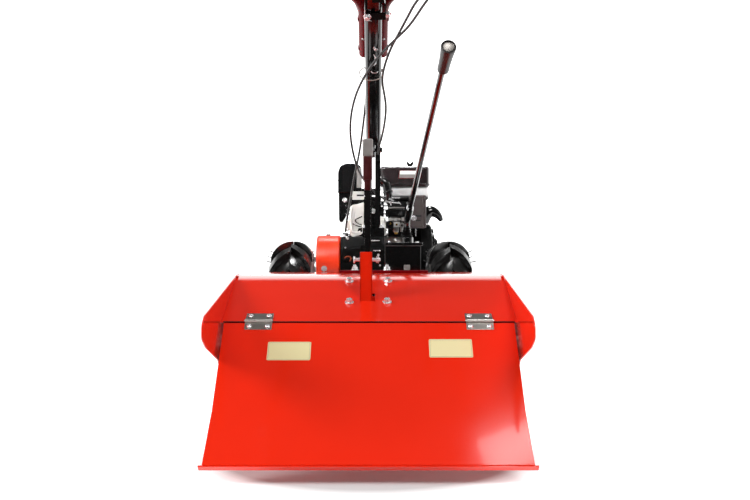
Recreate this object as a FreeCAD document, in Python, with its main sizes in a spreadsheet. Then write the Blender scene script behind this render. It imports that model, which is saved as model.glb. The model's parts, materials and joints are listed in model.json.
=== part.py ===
"""Walk-behind garden tiller: two driven wheels, an open petrol engine, a tine rotor under a sheet hood.

Millimetres. +Y is forward, +X is the right-hand side, +Z is up. The ground is z = 0 and the origin is the
middle of the machine's footprint. Lengthwise places are measured from the wheel axle, and every finished
piece is moved forward by axle_y, so that the origin ends up in the middle.
"""
import FreeCAD, Part
import math
import os

import Sketcher
from FreeCAD import Placement, Rotation, Vector

DOC = FreeCAD.newDocument("GardenTiller")
SHEET = DOC.addObject("Spreadsheet::Sheet", "Sizes")

DRIVING_SIZES = {
    # the whole machine
    "axle_y": 383.1,
    # wheels: four-inch tyres on ten-inch rims
    "wheel_radius": 226, "carcass_radius": 207, "tyre_width": 108, "track_half": 212, "bead_radius": 127,
    "axle_height": 226, "axle_rod_radius": 12.5, "axle_end_radius": 12, "axle_end_length": 20,
    "axle_rod_reach": 246, "hub_radius": 21, "lug_thickness": 18, "lug_slant": 46,
    # gearbox, with its selector and the wheel drive below it
    "gearbox_left": -78, "gearbox_right": 37, "gearbox_rear": -130, "gearbox_front": 60,
    "gearbox_floor": 296, "gearbox_top": 462, "axle_case_half": 62, "axle_case_radius": 68,
    "selector_right": 130, "selector_rear": -176, "selector_front": -60, "selector_floor": 372,
    "selector_top": 446, "lever_x": 96, "lever_y": -145, "lever_rod_radius": 6.5,
    "lever_boss_height": 14,
    # belt drive
    "belt_cover_left": -143, "belt_cover_width": 64, "belt_rear_y": -70, "belt_rear_z": 405,
    "belt_rear_radius": 61, "belt_front_radius": 50,
    # engine: its crankshaft lies across the machine
    "crank_y": 285, "crank_z": 411, "fan_radius": 100, "fan_left": 116, "fan_width": 34,
    "recoil_width": 50, "engine_plate_z": 305, "engine_plate_steel": 7,
    "tank_left": 27, "tank_right": 171, "tank_floor": 611, "tank_top": 672,
    "tank_rear": 178, "tank_front": 392,
    # frame in front of the gearbox, and the bumper hoop
    "rail_half": 74, "rail_rear": 60.5, "rail_front": 420, "bumper_y": 487, "bumper_top": 470,
    "bumper_half": 92, "bumper_radius": 12.5,
    # tiller drive and rotor
    "rotor_radius": 17, "rotor_y": -430, "rotor_z": 185, "tine_radius": 163, "drive_case_half": 27,
    "drive_case_front": -72,
    # hood: a sheet roof and rear panel between two side plates
    "sheet": 2.5, "hood_half": 306, "roof_z": 372, "roof_front": -262, "bend_y": -452, "bend_radius": 300,
    "panel_angle": 21.4, "panel_length": 256,
    # flap hung from the rear panel on two butt hinges
    "flap_angle": 45, "flap_half": 298, "flap_length": 341, "hinge_x": 227, "barrel_radius": 3.6,
    "barrel_lift": 4, "joint_gap": 3,
    # depth stake
    "stake_x": -4, "stake_y": -572, "stake_half": 6.5, "stake_top": 668, "bracket_half": 15.5,
    "bracket_top": 423, "stake_pin_z": 406,
    # column and handlebar
    "column_x": 8, "pivot_y": -55, "pivot_z": 696, "column_angle": 27.4, "column_length": 640,
    "post_bar": 14, "post_gap": 9, "arm_radius": 14, "arm_rise": 23,
    "grip_radius": 17,
    # control cables
    "cable_radius": 2.9,
}


def fill_sheet():
    for row, (alias, number) in enumerate(DRIVING_SIZES.items(), 1):
        SHEET.set(f"A{row}", alias)
        SHEET.set(f"B{row}", str(number))
        SHEET.setAlias(f"B{row}", alias)
    DOC.recompute()


class Size:
    """A length or an angle that knows both its number and the sheet expression that gives it."""

    def __init__(self, text, number):
        self.text = text
        self.number = float(number)

    def __float__(self):
        return self.number

    def __add__(self, other):
        return Size(f"({self.text} + {as_size(other).text})", self.number + float(other))

    def __sub__(self, other):
        return Size(f"({self.text} - {as_size(other).text})", self.number - float(other))

    def __mul__(self, other):
        return Size(f"({self.text} * {as_size(other).text})", self.number * float(other))

    def __truediv__(self, other):
        return Size(f"({self.text} / {as_size(other).text})", self.number / float(other))

    def __radd__(self, other):
        return as_size(other) + self

    def __rsub__(self, other):
        return as_size(other) - self

    def __rmul__(self, other):
        return self * other

    def __neg__(self):
        return Size(f"(0 - {self.text})", -self.number)


def as_size(length):
    return length if isinstance(length, Size) else Size(f"({float(length)!r})", length)


def sine(angle):
    return Size(f"sin({angle.text})", math.sin(math.radians(angle.number)))


def cosine(angle):
    return Size(f"cos({angle.text})", math.cos(math.radians(angle.number)))


class Cells:
    """The sheet's cells by alias, each as a Size."""

    def __getattr__(self, alias):
        return Size(f"Sizes.{alias}", DRIVING_SIZES[alias])


S = Cells()
X_AXIS, Y_AXIS, Z_AXIS = Vector(1, 0, 0), Vector(0, 1, 0), Vector(0, 0, 1)
FINISHED = {}
PLACED_Y = {}


# ---------------------------------------------------------------- helpers: placing and finishing

def bind(thing, path, length):
    """Give a length to a property: tied to the sheet if it is a Size, else as a plain number."""
    if isinstance(length, Size):
        thing.setExpression(path, length.text)
    else:
        setattr(thing, path, length)


def put(thing, base, axis=Z_AXIS, angle=0):
    """Place an object: its corner or centre, then a rotation about one axis in degrees."""
    thing.Placement = Placement(Vector(*map(float, base)), Rotation(axis, float(angle)))
    for letter, length in zip("xyz", base):
        if isinstance(length, Size):
            thing.setExpression(f"Placement.Base.{letter}", length.text)
    if isinstance(angle, Size):
        thing.setExpression("Placement.Rotation.Angle", angle.text)
    PLACED_Y[thing.Name] = base[1]
    return thing


def finish(thing, label):
    """Name an object as a finished piece and move it forward with the axle."""
    thing.Label = label
    bind_y = S.axle_y + PLACED_Y.get(thing.Name, 0)
    thing.setExpression("Placement.Base.y", bind_y.text)
    FINISHED[label] = thing
    return thing


def finish_shape(shape, label):
    """A finished piece whose shape comes straight from Part's own functions."""
    thing = DOC.addObject("Part::Feature", label)
    thing.Shape = shape
    return finish(thing, label)


# ---------------------------------------------------------------- helpers: primitives and booleans

def box(name, low, size):
    thing = DOC.addObject("Part::Box", name)
    for path, length in zip(("Length", "Width", "Height"), size):
        bind(thing, path, length)
    return put(thing, low)


def rod(name, start, radius, length, along=X_AXIS):
    thing = DOC.addObject("Part::Cylinder", name)
    bind(thing, "Radius", radius)
    bind(thing, "Height", length)
    if along == X_AXIS:
        return put(thing, start, Y_AXIS, 90)
    if along == Y_AXIS:
        return put(thing, start, X_AXIS, -90)
    return put(thing, start)


def fuse(name, pieces):
    thing = DOC.addObject("Part::MultiFuse", name)
    thing.Shapes = pieces
    return thing


def cut(name, base, tool):
    thing = DOC.addObject("Part::Cut", name)
    thing.Base, thing.Tool = base, tool
    return thing


# ---------------------------------------------------------------- helpers: bodies

def new_body(name):
    return DOC.addObject("PartDesign::Body", name)


def origin_plane(body, role):
    return next(plane for plane in body.Origin.OriginFeatures if plane.Role == role)


def outline_sketch(body, name, role, points):
    """A closed outline on one of the body's origin planes, each corner tied to the sheet."""
    sketch = body.newObject("Sketcher::SketchObject", name)
    sketch.AttachmentSupport = (origin_plane(body, role), [""])
    sketch.MapMode = "FlatFace"
    corners = [Vector(float(u), float(v), 0) for u, v in points]
    for start, end in zip(corners, corners[1:] + corners[:1]):
        sketch.addGeometry(Part.LineSegment(start, end), False)
    for edge in range(len(corners)):
        following = (edge + 1) % len(corners)
        sketch.addConstraint(Sketcher.Constraint("Coincident", edge, 2, following, 1))
    for edge, (u, v) in enumerate(points):
        for kind, length in (("DistanceX", u), ("DistanceY", v)):
            number = sketch.addConstraint(
                Sketcher.Constraint(kind, -1, 1, edge, 1, float(length)))
            if isinstance(length, Size):
                sketch.setExpression(f"Constraints[{number}]", length.text)
    return sketch


def pad(body, name, sketch, length):
    feature = body.newObject("PartDesign::Pad", name)
    feature.Profile = sketch
    bind(feature, "Length", length)
    body.Tip = feature
    return feature


def slab(name, role, points, length, rounds=()):
    """A body: an outline padded away from its plane, with some of its corners rounded.

    rounds lists (radius, (corner numbers)).
    """
    body = new_body(name)
    feature = pad(body, f"{name}_pad", outline_sketch(body, f"{name}_outline", role, points), length)
    across = {"YZ_Plane": X_AXIS, "XZ_Plane": Y_AXIS, "XY_Plane": Z_AXIS}[role]
    for order, (radius, corners) in enumerate(rounds):
        DOC.recompute()
        wanted = [in_space(role, points[corner]) for corner in corners]
        feature = round_edges(body, f"{name}_round_{order}", feature, radius,
                              lambda edge: is_corner(edge, across, wanted))
    return body


def in_space(role, point):
    u, v = map(float, point)
    return {"YZ_Plane": Vector(0, u, v), "XZ_Plane": Vector(u, 0, v), "XY_Plane": Vector(u, v, 0)}[role]


def is_corner(edge, across, wanted):
    if len(edge.Vertexes) != 2:
        return False
    run = edge.Vertexes[1].Point - edge.Vertexes[0].Point
    if run.cross(across).Length > 1e-6:
        return False
    start = edge.Vertexes[0].Point
    return any((start - corner).cross(across).Length < 1e-3 for corner in wanted)


def round_edges(body, name, base, radius, chosen):
    names = [f"Edge{n}" for n, edge in enumerate(base.Shape.Edges, 1) if chosen(edge)]
    if not names:
        raise RuntimeError(f"{name} finds no edge to round")
    feature = body.newObject("PartDesign::Fillet", name)
    feature.Base = (base, names)
    bind(feature, "Radius", radius)
    body.Tip = feature
    return feature


def turned(name, points):
    """A body turned about the X axis: points are (place along the axis, radius)."""
    body = new_body(name)
    sketch = outline_sketch(body, f"{name}_profile", "XY_Plane", points)
    feature = body.newObject("PartDesign::Revolution", f"{name}_turn")
    feature.Profile = sketch
    feature.ReferenceAxis = (sketch, ["H_Axis"])
    feature.Angle = 360
    body.Tip = feature
    return body, feature


# ---------------------------------------------------------------- helpers: bent tubes and cables

def bent_path(points, most=None):
    """Straight runs joined by tangent arcs, as a wire, and the arcs' radii."""
    points = [Vector(*map(float, point)) for point in points]
    edges, radii, start = [], [], points[0]
    for before, corner, after in zip(points, points[1:], points[2:]):
        arriving, leaving = corner - before, after - corner
        half_turn = arriving.getAngle(leaving) / 2
        radius = 0.45 * min(arriving.Length, leaving.Length) / math.tan(half_turn)
        radius = min(radius, most) if most else radius
        radii.append(radius)
        back = radius * math.tan(half_turn)
        arriving.normalize()
        leaving.normalize()
        first, last = corner - arriving * back, corner + leaving * back
        inward = leaving - arriving
        inward.normalize()
        middle = corner + inward * (radius / math.cos(half_turn) - radius)
        if (first - start).Length > 1e-6:
            edges.append(Part.LineSegment(start, first).toShape())
        edges.append(Part.Arc(first, middle, last).toShape())
        start = last
    edges.append(Part.LineSegment(start, points[-1]).toShape())
    return Part.Wire(edges), radii


def round_tube(points, radius, most=None):
    """A solid round bar that follows a bent path; its volume is checked against its length."""
    path, radii = bent_path(points, most)
    start = path.Edges[0].Vertexes[0].Point
    towards = path.Edges[0].Vertexes[1].Point - start
    section = Part.Wire([Part.makeCircle(float(radius), start, towards)])
    solid = path.makePipeShell([section], True, False)
    expected = math.pi * float(radius) ** 2 * path.Length
    if abs(solid.Volume - expected) > 0.01 * expected:
        raise RuntimeError(f"a tube of {path.Length:.0f} mm has the wrong volume")
    return solid, path, radii


# ---------------------------------------------------------------- drive train

def gearbox():
    slope_rear, slope_front, corner = 34, 40, 12
    upper = slab("gearbox_upper", "YZ_Plane", [
        (S.gearbox_rear, S.gearbox_floor), (S.gearbox_front, S.gearbox_floor),
        (S.gearbox_front, S.gearbox_top - 30), (S.gearbox_front - slope_front, S.gearbox_top),
        (S.gearbox_rear + slope_rear, S.gearbox_top), (S.gearbox_rear, S.gearbox_top - 28),
    ], S.gearbox_right - S.gearbox_left, [(corner, (2, 3, 4, 5))])
    put(upper, (S.gearbox_left, 0, 0))
    seam, flange_width, proud = 52, 12, 7
    joint_flange = box("gearbox_flange", (S.gearbox_left + seam, S.gearbox_rear - proud, S.gearbox_floor),
                       (flange_width, S.gearbox_front - S.gearbox_rear + 2 * proud,
                        S.gearbox_top - S.gearbox_floor - 22))
    cover_y, cover_z, cover_radius, cover_thickness = 18, 340, 36, 9
    cover = rod("gearbox_side_cover", (S.gearbox_right, cover_y, cover_z), cover_radius, cover_thickness)
    tensioner = box("gearbox_tensioner", (S.gearbox_left, 12, S.gearbox_top - 24), (16, 30, 36))
    finish(fuse("gearbox_whole", [upper, joint_flange, cover, tensioner]), "gearbox_case")


def axle_case():
    half, boss_reach, boss_radius, rear_foot = S.axle_case_half, 22, 30, 176
    barrel = rod("axle_barrel", (-half, 0, S.axle_height), S.axle_case_radius, 2 * half)
    neck_inset, neck_half = 12, 56
    neck = box("axle_neck", (neck_inset - half, -neck_half, S.axle_height),
               (2 * (half - neck_inset), 2 * neck_half, S.gearbox_floor - S.axle_height))
    pad_rear = box("axle_pad", (-S.drive_case_half, S.drive_case_front, rear_foot),
                   (2 * S.drive_case_half, 30, S.gearbox_floor - rear_foot))
    bosses = rod("axle_bosses", (-half - boss_reach, 0, S.axle_height), boss_radius, 2 * (half + boss_reach))
    bore = rod("axle_bore", (-200, 0, S.axle_height), S.axle_rod_radius + 0.05, 400)
    whole = fuse("axle_case_whole", [barrel, neck, pad_rear, bosses])
    finish(cut("axle_case_bored", whole, bore), "axle_case")
    shoulder = S.axle_rod_reach - S.axle_end_length
    shaft = rod("axle_shaft", (-shoulder, 0, S.axle_height), S.axle_rod_radius, 2 * shoulder)
    ends = rod("axle_ends", (-S.axle_rod_reach, 0, S.axle_height), S.axle_end_radius, 2 * S.axle_rod_reach)
    finish(fuse("axle_whole", [shaft, ends]), "wheel_axle")


def selector():
    lid_thickness, lid_proud = 8, 5
    width, length = S.selector_right - S.gearbox_right, S.selector_front - S.selector_rear
    lid_floor = S.selector_top - lid_thickness
    tub = box("selector_tub", (S.gearbox_right, S.selector_rear, S.selector_floor),
              (width, length, lid_floor - S.selector_floor))
    lid = box("selector_lid", (S.gearbox_right, S.selector_rear - lid_proud, lid_floor),
              (width + lid_proud, length + 2 * lid_proud, lid_thickness))
    arm = box("selector_arm", (S.gearbox_right, S.selector_front, S.selector_floor + 8), (30, 40, 46))
    boss = rod("selector_boss", (S.lever_x, S.lever_y, S.selector_top), 15, S.lever_boss_height, Z_AXIS)
    finish(fuse("selector_whole", [tub, lid, arm, boss]), "selector_box")


def gear_lever():
    """The bent lever with a stiffening sleeve above its knee, and the grip that widens towards its end."""
    foot = (S.lever_x, S.lever_y, S.selector_top + S.lever_boss_height)
    knee = Vector(float(S.lever_x), float(S.lever_y), 506)
    grip_end, grip_length, rim = Vector(149.5, -862, 811), 82, 3
    aim = (grip_end - knee).normalize()
    tip = grip_end - aim * grip_length
    lever, _, _ = round_tube([foot, knee, tip], S.lever_rod_radius, 40)
    sleeve_radius, sleeve_length, sleeve_from_knee = 9.5, 58, 14
    sleeve = Part.makeCylinder(sleeve_radius, sleeve_length, knee + aim * sleeve_from_knee, aim)
    finish_shape(lever.fuse(sleeve).removeSplitter(), "gear_lever")
    narrow, wide = 11.5, 15.5
    grip = Part.makeCone(narrow, wide, grip_length, tip, aim)
    circles = [edge for edge in grip.Edges if isinstance(edge.Curve, Part.Circle)]
    end_rim = max(circles, key=lambda edge: edge.Curve.Radius)
    finish_shape(grip.makeFillet(rim, [end_rim]), "gear_lever_grip")


def belt_cover():
    """A moulded case round both pulleys: two drums and the flat-sided stretch that is tangent to both."""
    width = S.belt_cover_width
    pulleys = ((S.belt_rear_y, S.belt_rear_z, S.belt_rear_radius),
               (S.crank_y, S.crank_z, S.belt_front_radius))
    rear, front = [rod(f"belt_drum_{order}", (S.belt_cover_left, y, z), radius, width)
                   for order, (y, z, radius) in enumerate(pulleys)]
    apart = math.hypot(float(S.crank_y - S.belt_rear_y), float(S.crank_z - S.belt_rear_z))
    lean = math.asin(float(S.belt_rear_radius - S.belt_front_radius) / apart)
    across, along = math.cos(lean), math.sin(lean)
    upper, lower = [[(y + radius * along, z + radius * (side * across)) for y, z, radius in pulleys]
                    for side in (1, -1)]
    middle = slab("belt_cover_middle", "YZ_Plane", upper + lower[::-1], width)
    put(middle, (S.belt_cover_left, 0, 0))
    finish(fuse("belt_cover_whole", [rear, front, middle]), "belt_cover")


def drive_case():
    """The casting that carries the drive from the gearbox back to the rotor."""
    half, root, hub_radius, rear_foot = S.drive_case_half, S.gearbox_floor - 1, 56, 176
    rear = rod("drive_case_rear", (-half, S.rotor_y, S.rotor_z), hub_radius, 2 * half)
    middle = slab("drive_case_middle", "YZ_Plane", [
        (S.drive_case_front, root), (-150, root), (S.rotor_y + 12, S.rotor_z + 54.7),
        (S.rotor_y - 14, S.rotor_z - 54), (S.drive_case_front, rear_foot)], 2 * half)
    put(middle, (-half, 0, 0))
    whole = fuse("drive_case_whole", [rear, middle])
    bore = rod("drive_case_bore", (-60, S.rotor_y, S.rotor_z), S.rotor_radius + 0.1, 120)
    finish(cut("drive_case_bored", whole, bore), "drive_case")


# ---------------------------------------------------------------- frame and engine

def frame():
    """Two angle-iron rails with a tie at the rear and a plate across the nose."""
    depth, steel, lip_width, nose_steel = 45, 6, 36, 8
    floor, length = S.engine_plate_z - depth, S.rail_front - S.rail_rear
    pieces = []
    for side, name in ((-1, "left"), (1, "right")):
        web_low = side * S.rail_half - steel / 2
        lip_low = web_low if side > 0 else web_low - lip_width + steel
        pieces += [box(f"rail_web_{name}", (web_low, S.rail_rear, floor), (steel, length, depth)),
                   box(f"rail_lip_{name}", (lip_low, S.rail_rear, floor), (lip_width, length, steel))]
    pieces += [box("rail_tie", (-S.rail_half, S.rail_rear + 8, floor), (2 * S.rail_half, 22, depth - 5)),
               box("rail_nose", (-S.rail_half, S.rail_front - nose_steel, floor),
                   (2 * S.rail_half, nose_steel, depth))]
    finish(fuse("frame_whole", pieces), "frame_rails")
    plate_left, plate_width, plate_length = -92, 204, 210
    plate = box("engine_plate_box", (plate_left, S.crank_y - plate_length / 2, S.engine_plate_z),
                (plate_width, plate_length, S.engine_plate_steel))
    finish(plate, "engine_plate")


def bumper():
    """A hoop of round tube on a flat crossbar that is bolted to the nose."""
    hoop_foot, hoop_knee, bend, steel = 285, 300, 50, 6
    start_y = S.rail_front + 1
    half = S.bumper_half
    hoop = [(-half, start_y, hoop_foot), (-half, S.bumper_y, hoop_knee), (-half, S.bumper_y, S.bumper_top),
            (half, S.bumper_y, S.bumper_top), (half, S.bumper_y, hoop_knee), (half, start_y, hoop_foot)]
    tube, _, _ = round_tube(hoop, S.bumper_radius, bend)
    bar_reach, bar_floor, bar_height = float(half) + 12, 268, 34
    crossbar = Part.makeBox(2 * bar_reach, steel, bar_height,
                            Vector(-bar_reach, float(S.rail_front), bar_floor))
    finish_shape(tube.fuse(crossbar).removeSplitter(), "front_bumper")


def crankcase():
    floor, half_length, block_left, block_width = S.engine_plate_z + S.engine_plate_steel, 92, -70, 186
    seat = S.crank_z + 54
    block = slab("crankcase_block", "YZ_Plane", [
        (S.crank_y - half_length, floor), (S.crank_y + half_length, floor),
        (S.crank_y + half_length, S.crank_z + 20), (S.crank_y + 60, seat), (S.crank_y - half_length, seat),
    ], block_width, [(14, (2, 3))])
    put(block, (block_left, 0, 0))
    stub_radius, stub_reach = 34, 8
    stub = rod("crank_stub", (block_left - stub_reach, S.crank_y, S.crank_z), stub_radius, stub_reach + 2)
    finish(fuse("crankcase_whole", [block, stub]), "engine_crankcase")


def cylinder():
    """The finned cylinder, leaning back over the crankcase towards the handlebar."""
    fin_count, fin_pitch, fin_thickness, first_fin = 6, 15, 5, 474
    core = box("cylinder_core", (-58, 152, S.crank_z + 55), (98, 96, 105))
    fins = [box(f"cylinder_fin_{n}", (-74, 142, first_fin + fin_pitch * n), (122, 116, fin_thickness))
            for n in range(fin_count)]
    cover = box("cylinder_cover", (-62, 160, 570), (92, 78, 14))
    finish(fuse("cylinder_whole", [core, *fins, cover]), "engine_cylinder")


def fan_side():
    """The cooling fan's drum, the starter on it with its hooked handle, and the duct to the cylinder."""
    radius, depth = S.fan_radius, S.recoil_width
    drum, _ = turned("fan_drum", [(0, 0), (S.fan_width, 0), (S.fan_width, radius), (0, radius)])
    put(drum, (S.fan_left, S.crank_y, S.crank_z))
    finish(drum, "fan_housing")
    dome, _ = turned("recoil_drum", [
        (0, 0), (depth, 0), (depth, radius - 42), (depth - 16, radius - 10), (0, radius - 6)])
    put(dome, (S.fan_left + S.fan_width, S.crank_y, S.crank_z))
    finish(dome, "recoil_cover")
    finish(box("duct_box", (50, 192, S.crank_z + 54.2), (66, 54, 110)), "cooling_duct")
    handle_y, handle_radius, bend = 262, 12, 40
    route = [(x, handle_y, z) for x, z in ((160, 516), (166, 546), (197, 546), (211, 508))]
    handle, _, _ = round_tube(route, handle_radius, bend)
    finish_shape(handle, "starter_grip")


def tank():
    length = S.tank_front - S.tank_rear
    shell = slab("tank_shell", "XZ_Plane", [
        (S.tank_left, S.tank_floor), (S.tank_right, S.tank_floor), (S.tank_right, S.tank_top),
        (S.tank_left, S.tank_top)], length, [(12, (2, 3))])
    put(shell, (0, S.tank_front, 0))
    finish(shell, "fuel_tank")
    cap_x, cap_radius, cap_height, wing_half = 118, 9, 18, 3
    cap = rod("tank_cap", (cap_x, S.crank_y, S.tank_top), cap_radius, cap_height, Z_AXIS)
    wing = box("tank_cap_wing", (cap_x - cap_radius, S.crank_y - wing_half, S.tank_top + cap_height - 2),
               (2 * cap_radius, 2 * wing_half, 11))
    finish(fuse("tank_cap_whole", [cap, wing]), "tank_vent")
    band_height, band_inset, foot_bottom = 29, 8, 500
    band_floor = S.tank_floor - band_height
    band = box("tank_band", (56, S.tank_rear + band_inset, band_floor),
               (114, length - 2 * band_inset, band_height))
    foot = box("tank_foot", (62, 250, foot_bottom), (50, 90, band_floor - foot_bottom))
    finish(fuse("tank_seat_whole", [band, foot]), "tank_seat")


def air_cleaner():
    """A domed cover with a tapering skirt that hangs from its left side, drawn backwards from its front."""
    front, left, right, floor, top, dome, length = 350, -97, -28, 597, 682, 26, 150
    shell = slab("air_cleaner_shell", "XZ_Plane", [(left, floor), (right, floor), (right, top), (left, top)],
                 length, [(dome, (2, 3))])
    skirt = slab("air_cleaner_skirt", "XZ_Plane", [
        (left, floor + 1), (left + 25, floor + 1), (left + 13, 508), (left + 4, 508)], 120)
    put(skirt, (0, -15, 0))
    neck = box("air_cleaner_neck", (-40, -140, floor - 9), (60, 60, 22))
    finish(put(fuse("air_cleaner_whole", [shell, skirt, neck]), (0, front, 0)), "air_cleaner")


def breathing():
    """The silencer's box behind the engine, and the carburettor between it and the cylinder."""
    left, right, rear, front, floor = 110, 158, 104, 176, 490
    silencer = slab("muffler_shell", "XY_Plane", [(left, rear), (right, rear), (right, front), (left, front)],
                    94, [(7, (0, 1, 2, 3))])
    put(silencer, (0, 0, floor))
    finish(silencer, "muffler")
    throat_y, flange_x, flange_steel = 150, 48, 8
    bowl = rod("carburettor_bowl", (74, throat_y, 478), 20, 30, Z_AXIS)
    throat = rod("carburettor_throat", (flange_x + 2, throat_y, 520), 17, 56)
    flange = box("carburettor_flange", (flange_x, throat_y - 22, 496), (flange_steel, 60, 46))
    finish(fuse("carburettor_whole", [bowl, throat, flange]), "carburettor")


# ---------------------------------------------------------------- hood, flap and rotor

def hood_panel():
    """One sheet: a flat roof, a rounded bend and the sloping rear panel with the stake's slot."""
    lean, thick = S.panel_angle, S.sheet
    fall_y, fall_z = -cosine(lean), -sine(lean)
    length = S.panel_length - S.joint_gap / 2
    shear = thick * (sine(lean) / (1 + cosine(lean)))
    end_y, end_z = S.bend_y + fall_y * length, S.roof_z + fall_z * length
    body = slab("hood_sheet", "YZ_Plane", [
        (S.roof_front, S.roof_z), (S.bend_y, S.roof_z), (end_y, end_z),
        (end_y + sine(lean) * thick, end_z - cosine(lean) * thick),
        (S.bend_y + shear, S.roof_z - thick), (S.roof_front, S.roof_z - thick),
    ], 2 * (S.hood_half - S.sheet), [(S.bend_radius, (1,)), (S.bend_radius - S.sheet, (4,))])
    put(body, (S.sheet - S.hood_half, 0, 0))
    slot = box("hood_slot", (S.stake_x - S.bracket_half - 0.5, S.stake_y - 20, 250),
               (2 * S.bracket_half + 1, 40, 100))
    finish(cut("hood_slotted", body, slot), "hood_panel")


def side_plate(name, side):
    """A sheet that closes the hood's side, with an ear that runs back past the flap's hinge."""
    ear_corner, belly_corner = 12, 60
    body = slab(f"side_sheet_{name}", "YZ_Plane", [
        (S.roof_front, S.roof_z), (S.bend_y, S.roof_z), (-890, 306), (-916, 289), (-917, 263),
        (-878, 244), (-730, 205), (-600, 96), (-330, 96), (S.roof_front, 150),
    ], S.sheet, [(S.bend_radius, (1,)), (ear_corner, (3, 4)), (belly_corner, (7, 8))])
    low = S.hood_half - S.sheet if side > 0 else -S.hood_half
    put(body, (low, 0, 0))
    finish(body, f"side_plate_{name}")


def hood_mount():
    """The doubling strip on the roof, and the casting between the drive case and the roof."""
    strip_steel, below_roof = 6, 0.2
    finish(box("roof_strip", (-74, -338, S.roof_z), (214, 46, strip_steel)), "roof_strip")
    under_roof, rear, front = S.roof_z - S.sheet - below_roof, -334, -294
    saddle = slab("hood_saddle_block", "YZ_Plane", [
        (rear, 261), (front, 269), (front, under_roof), (rear, under_roof)], 2 * S.drive_case_half)
    put(saddle, (-S.drive_case_half, 0, 0))
    finish(saddle, "hood_saddle")


def joint_line():
    """(y, z) of the line where the rear panel's outer face meets the flap's."""
    return (S.bend_y - cosine(S.panel_angle) * S.panel_length,
            S.roof_z - sine(S.panel_angle) * S.panel_length)


def hinge_axis():
    """(y, z) of the hinges' axis, which stands off the joint line, square to the mean of both faces."""
    y, z = joint_line()
    mean = (S.panel_angle + S.flap_angle) / 2
    return y - sine(mean) * S.barrel_lift, z + cosine(mean) * S.barrel_lift


def joint_from_axis():
    """How far the joint line lies along and below the hinges' axis, seen square to either face."""
    half_bend = (S.flap_angle - S.panel_angle) / 2
    return sine(half_bend) * S.barrel_lift, cosine(half_bend) * S.barrel_lift


def flap():
    """The hinged rear flap, drawn flat in the hinge's own frame and then tilted about it."""
    along, below = joint_from_axis()
    lip_depth, strip_reach, strip_width, flare, straight = 14, 310, 3, 4.5, 226
    top, bottom = -along - S.joint_gap / 2, -along - S.flap_length
    sheet = slab("flap_sheet", "XY_Plane", [
        (-S.flap_half, top), (-S.flap_half, -straight), (-S.flap_half - flare, bottom),
        (S.flap_half + flare, bottom), (S.flap_half, -straight), (S.flap_half, top)], S.sheet)
    put(sheet, (0, 0, -below - S.sheet))
    lip = box("flap_lip", (-S.flap_half - flare, bottom, -below - lip_depth),
              (2 * (S.flap_half + flare), S.sheet, lip_depth))
    strip = box("flap_strip", (-strip_reach, bottom - strip_width, -below - lip_depth),
                (2 * strip_reach, strip_width, lip_depth - 2))
    whole = fuse("flap_whole", [sheet, lip, strip])
    put(whole, (0, *hinge_axis()), X_AXIS, S.flap_angle)
    finish(whole, "flap")


def hinges():
    """Two butt hinges: a leaf on the rear panel, a leaf on the flap, one barrel between them."""
    lean = S.panel_angle
    along, below = joint_from_axis()
    width, leaf, fixed_length, moving_length, barrel_gap = 56, 2, 34, 21, 4.4
    rise = along + barrel_gap
    fixed, moving = [], []
    for side in (-1, 1):
        low = side * S.hinge_x - width / 2
        fixed_leaf = box(f"hinge_leaf_fixed_{side + 1}", (low, 0, 0), (width, fixed_length, leaf))
        put(fixed_leaf, (low, rise * cosine(lean) + below * sine(lean),
                         rise * sine(lean) - below * cosine(lean)), X_AXIS, lean)
        fixed.append(fixed_leaf)
        moving += [box(f"hinge_leaf_moving_{side + 1}", (low, -moving_length, -below),
                       (width, moving_length, leaf)),
                   rod(f"hinge_barrel_{side + 1}", (low, 0, 0), S.barrel_radius, width)]
    whole = put(fuse("hinge_fixed_whole", fixed), (0, *hinge_axis()))
    finish(whole, "hinge_leaves_fixed")
    whole = put(fuse("hinge_moving_whole", moving), (0, *hinge_axis()), X_AXIS, S.flap_angle)
    finish(whole, "hinge_leaves_moving")


def rotor():
    reach, tine_places = 286, (72, 165, 258)
    shaft = rod("rotor_rod", (-reach, S.rotor_y, S.rotor_z), S.rotor_radius, 2 * reach)
    finish(shaft, "rotor_shaft")
    stars = [tine_star(f"{side + 1}_{order}", side * place, order, side)
             for side in (-1, 1) for order, place in enumerate(tine_places)]
    whole = put(fuse("tines_whole", stars), (0, S.rotor_y, S.rotor_z))
    finish(whole, "tines")


def tine_star(name, place, order, side):
    """A flange with four blades, every other one bent inwards except beside the drive case."""
    steel, hub_length, hub_radius, flange_radius, each_turned = 7, 28, 27, 62, 22
    hub = rod(f"tine_hub_{name}", (place - hub_length / 2, 0, 0), hub_radius, hub_length)
    bore = rod(f"tine_bore_{name}", (place - 20, 0, 0), S.rotor_radius, 40)
    pieces = [hub, rod(f"tine_flange_{name}", (place - steel / 2, 0, 0), flange_radius, steel)]
    for blade in range(4):
        out = side if blade % 2 or order == 0 else -side
        pieces += tine_blade(f"{name}_{blade}", place - steel / 2 + out * steel, steel, out,
                             90 * blade + each_turned * order)
    return cut(f"tine_star_{name}", fuse(f"tine_solid_{name}", pieces), bore)


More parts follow.
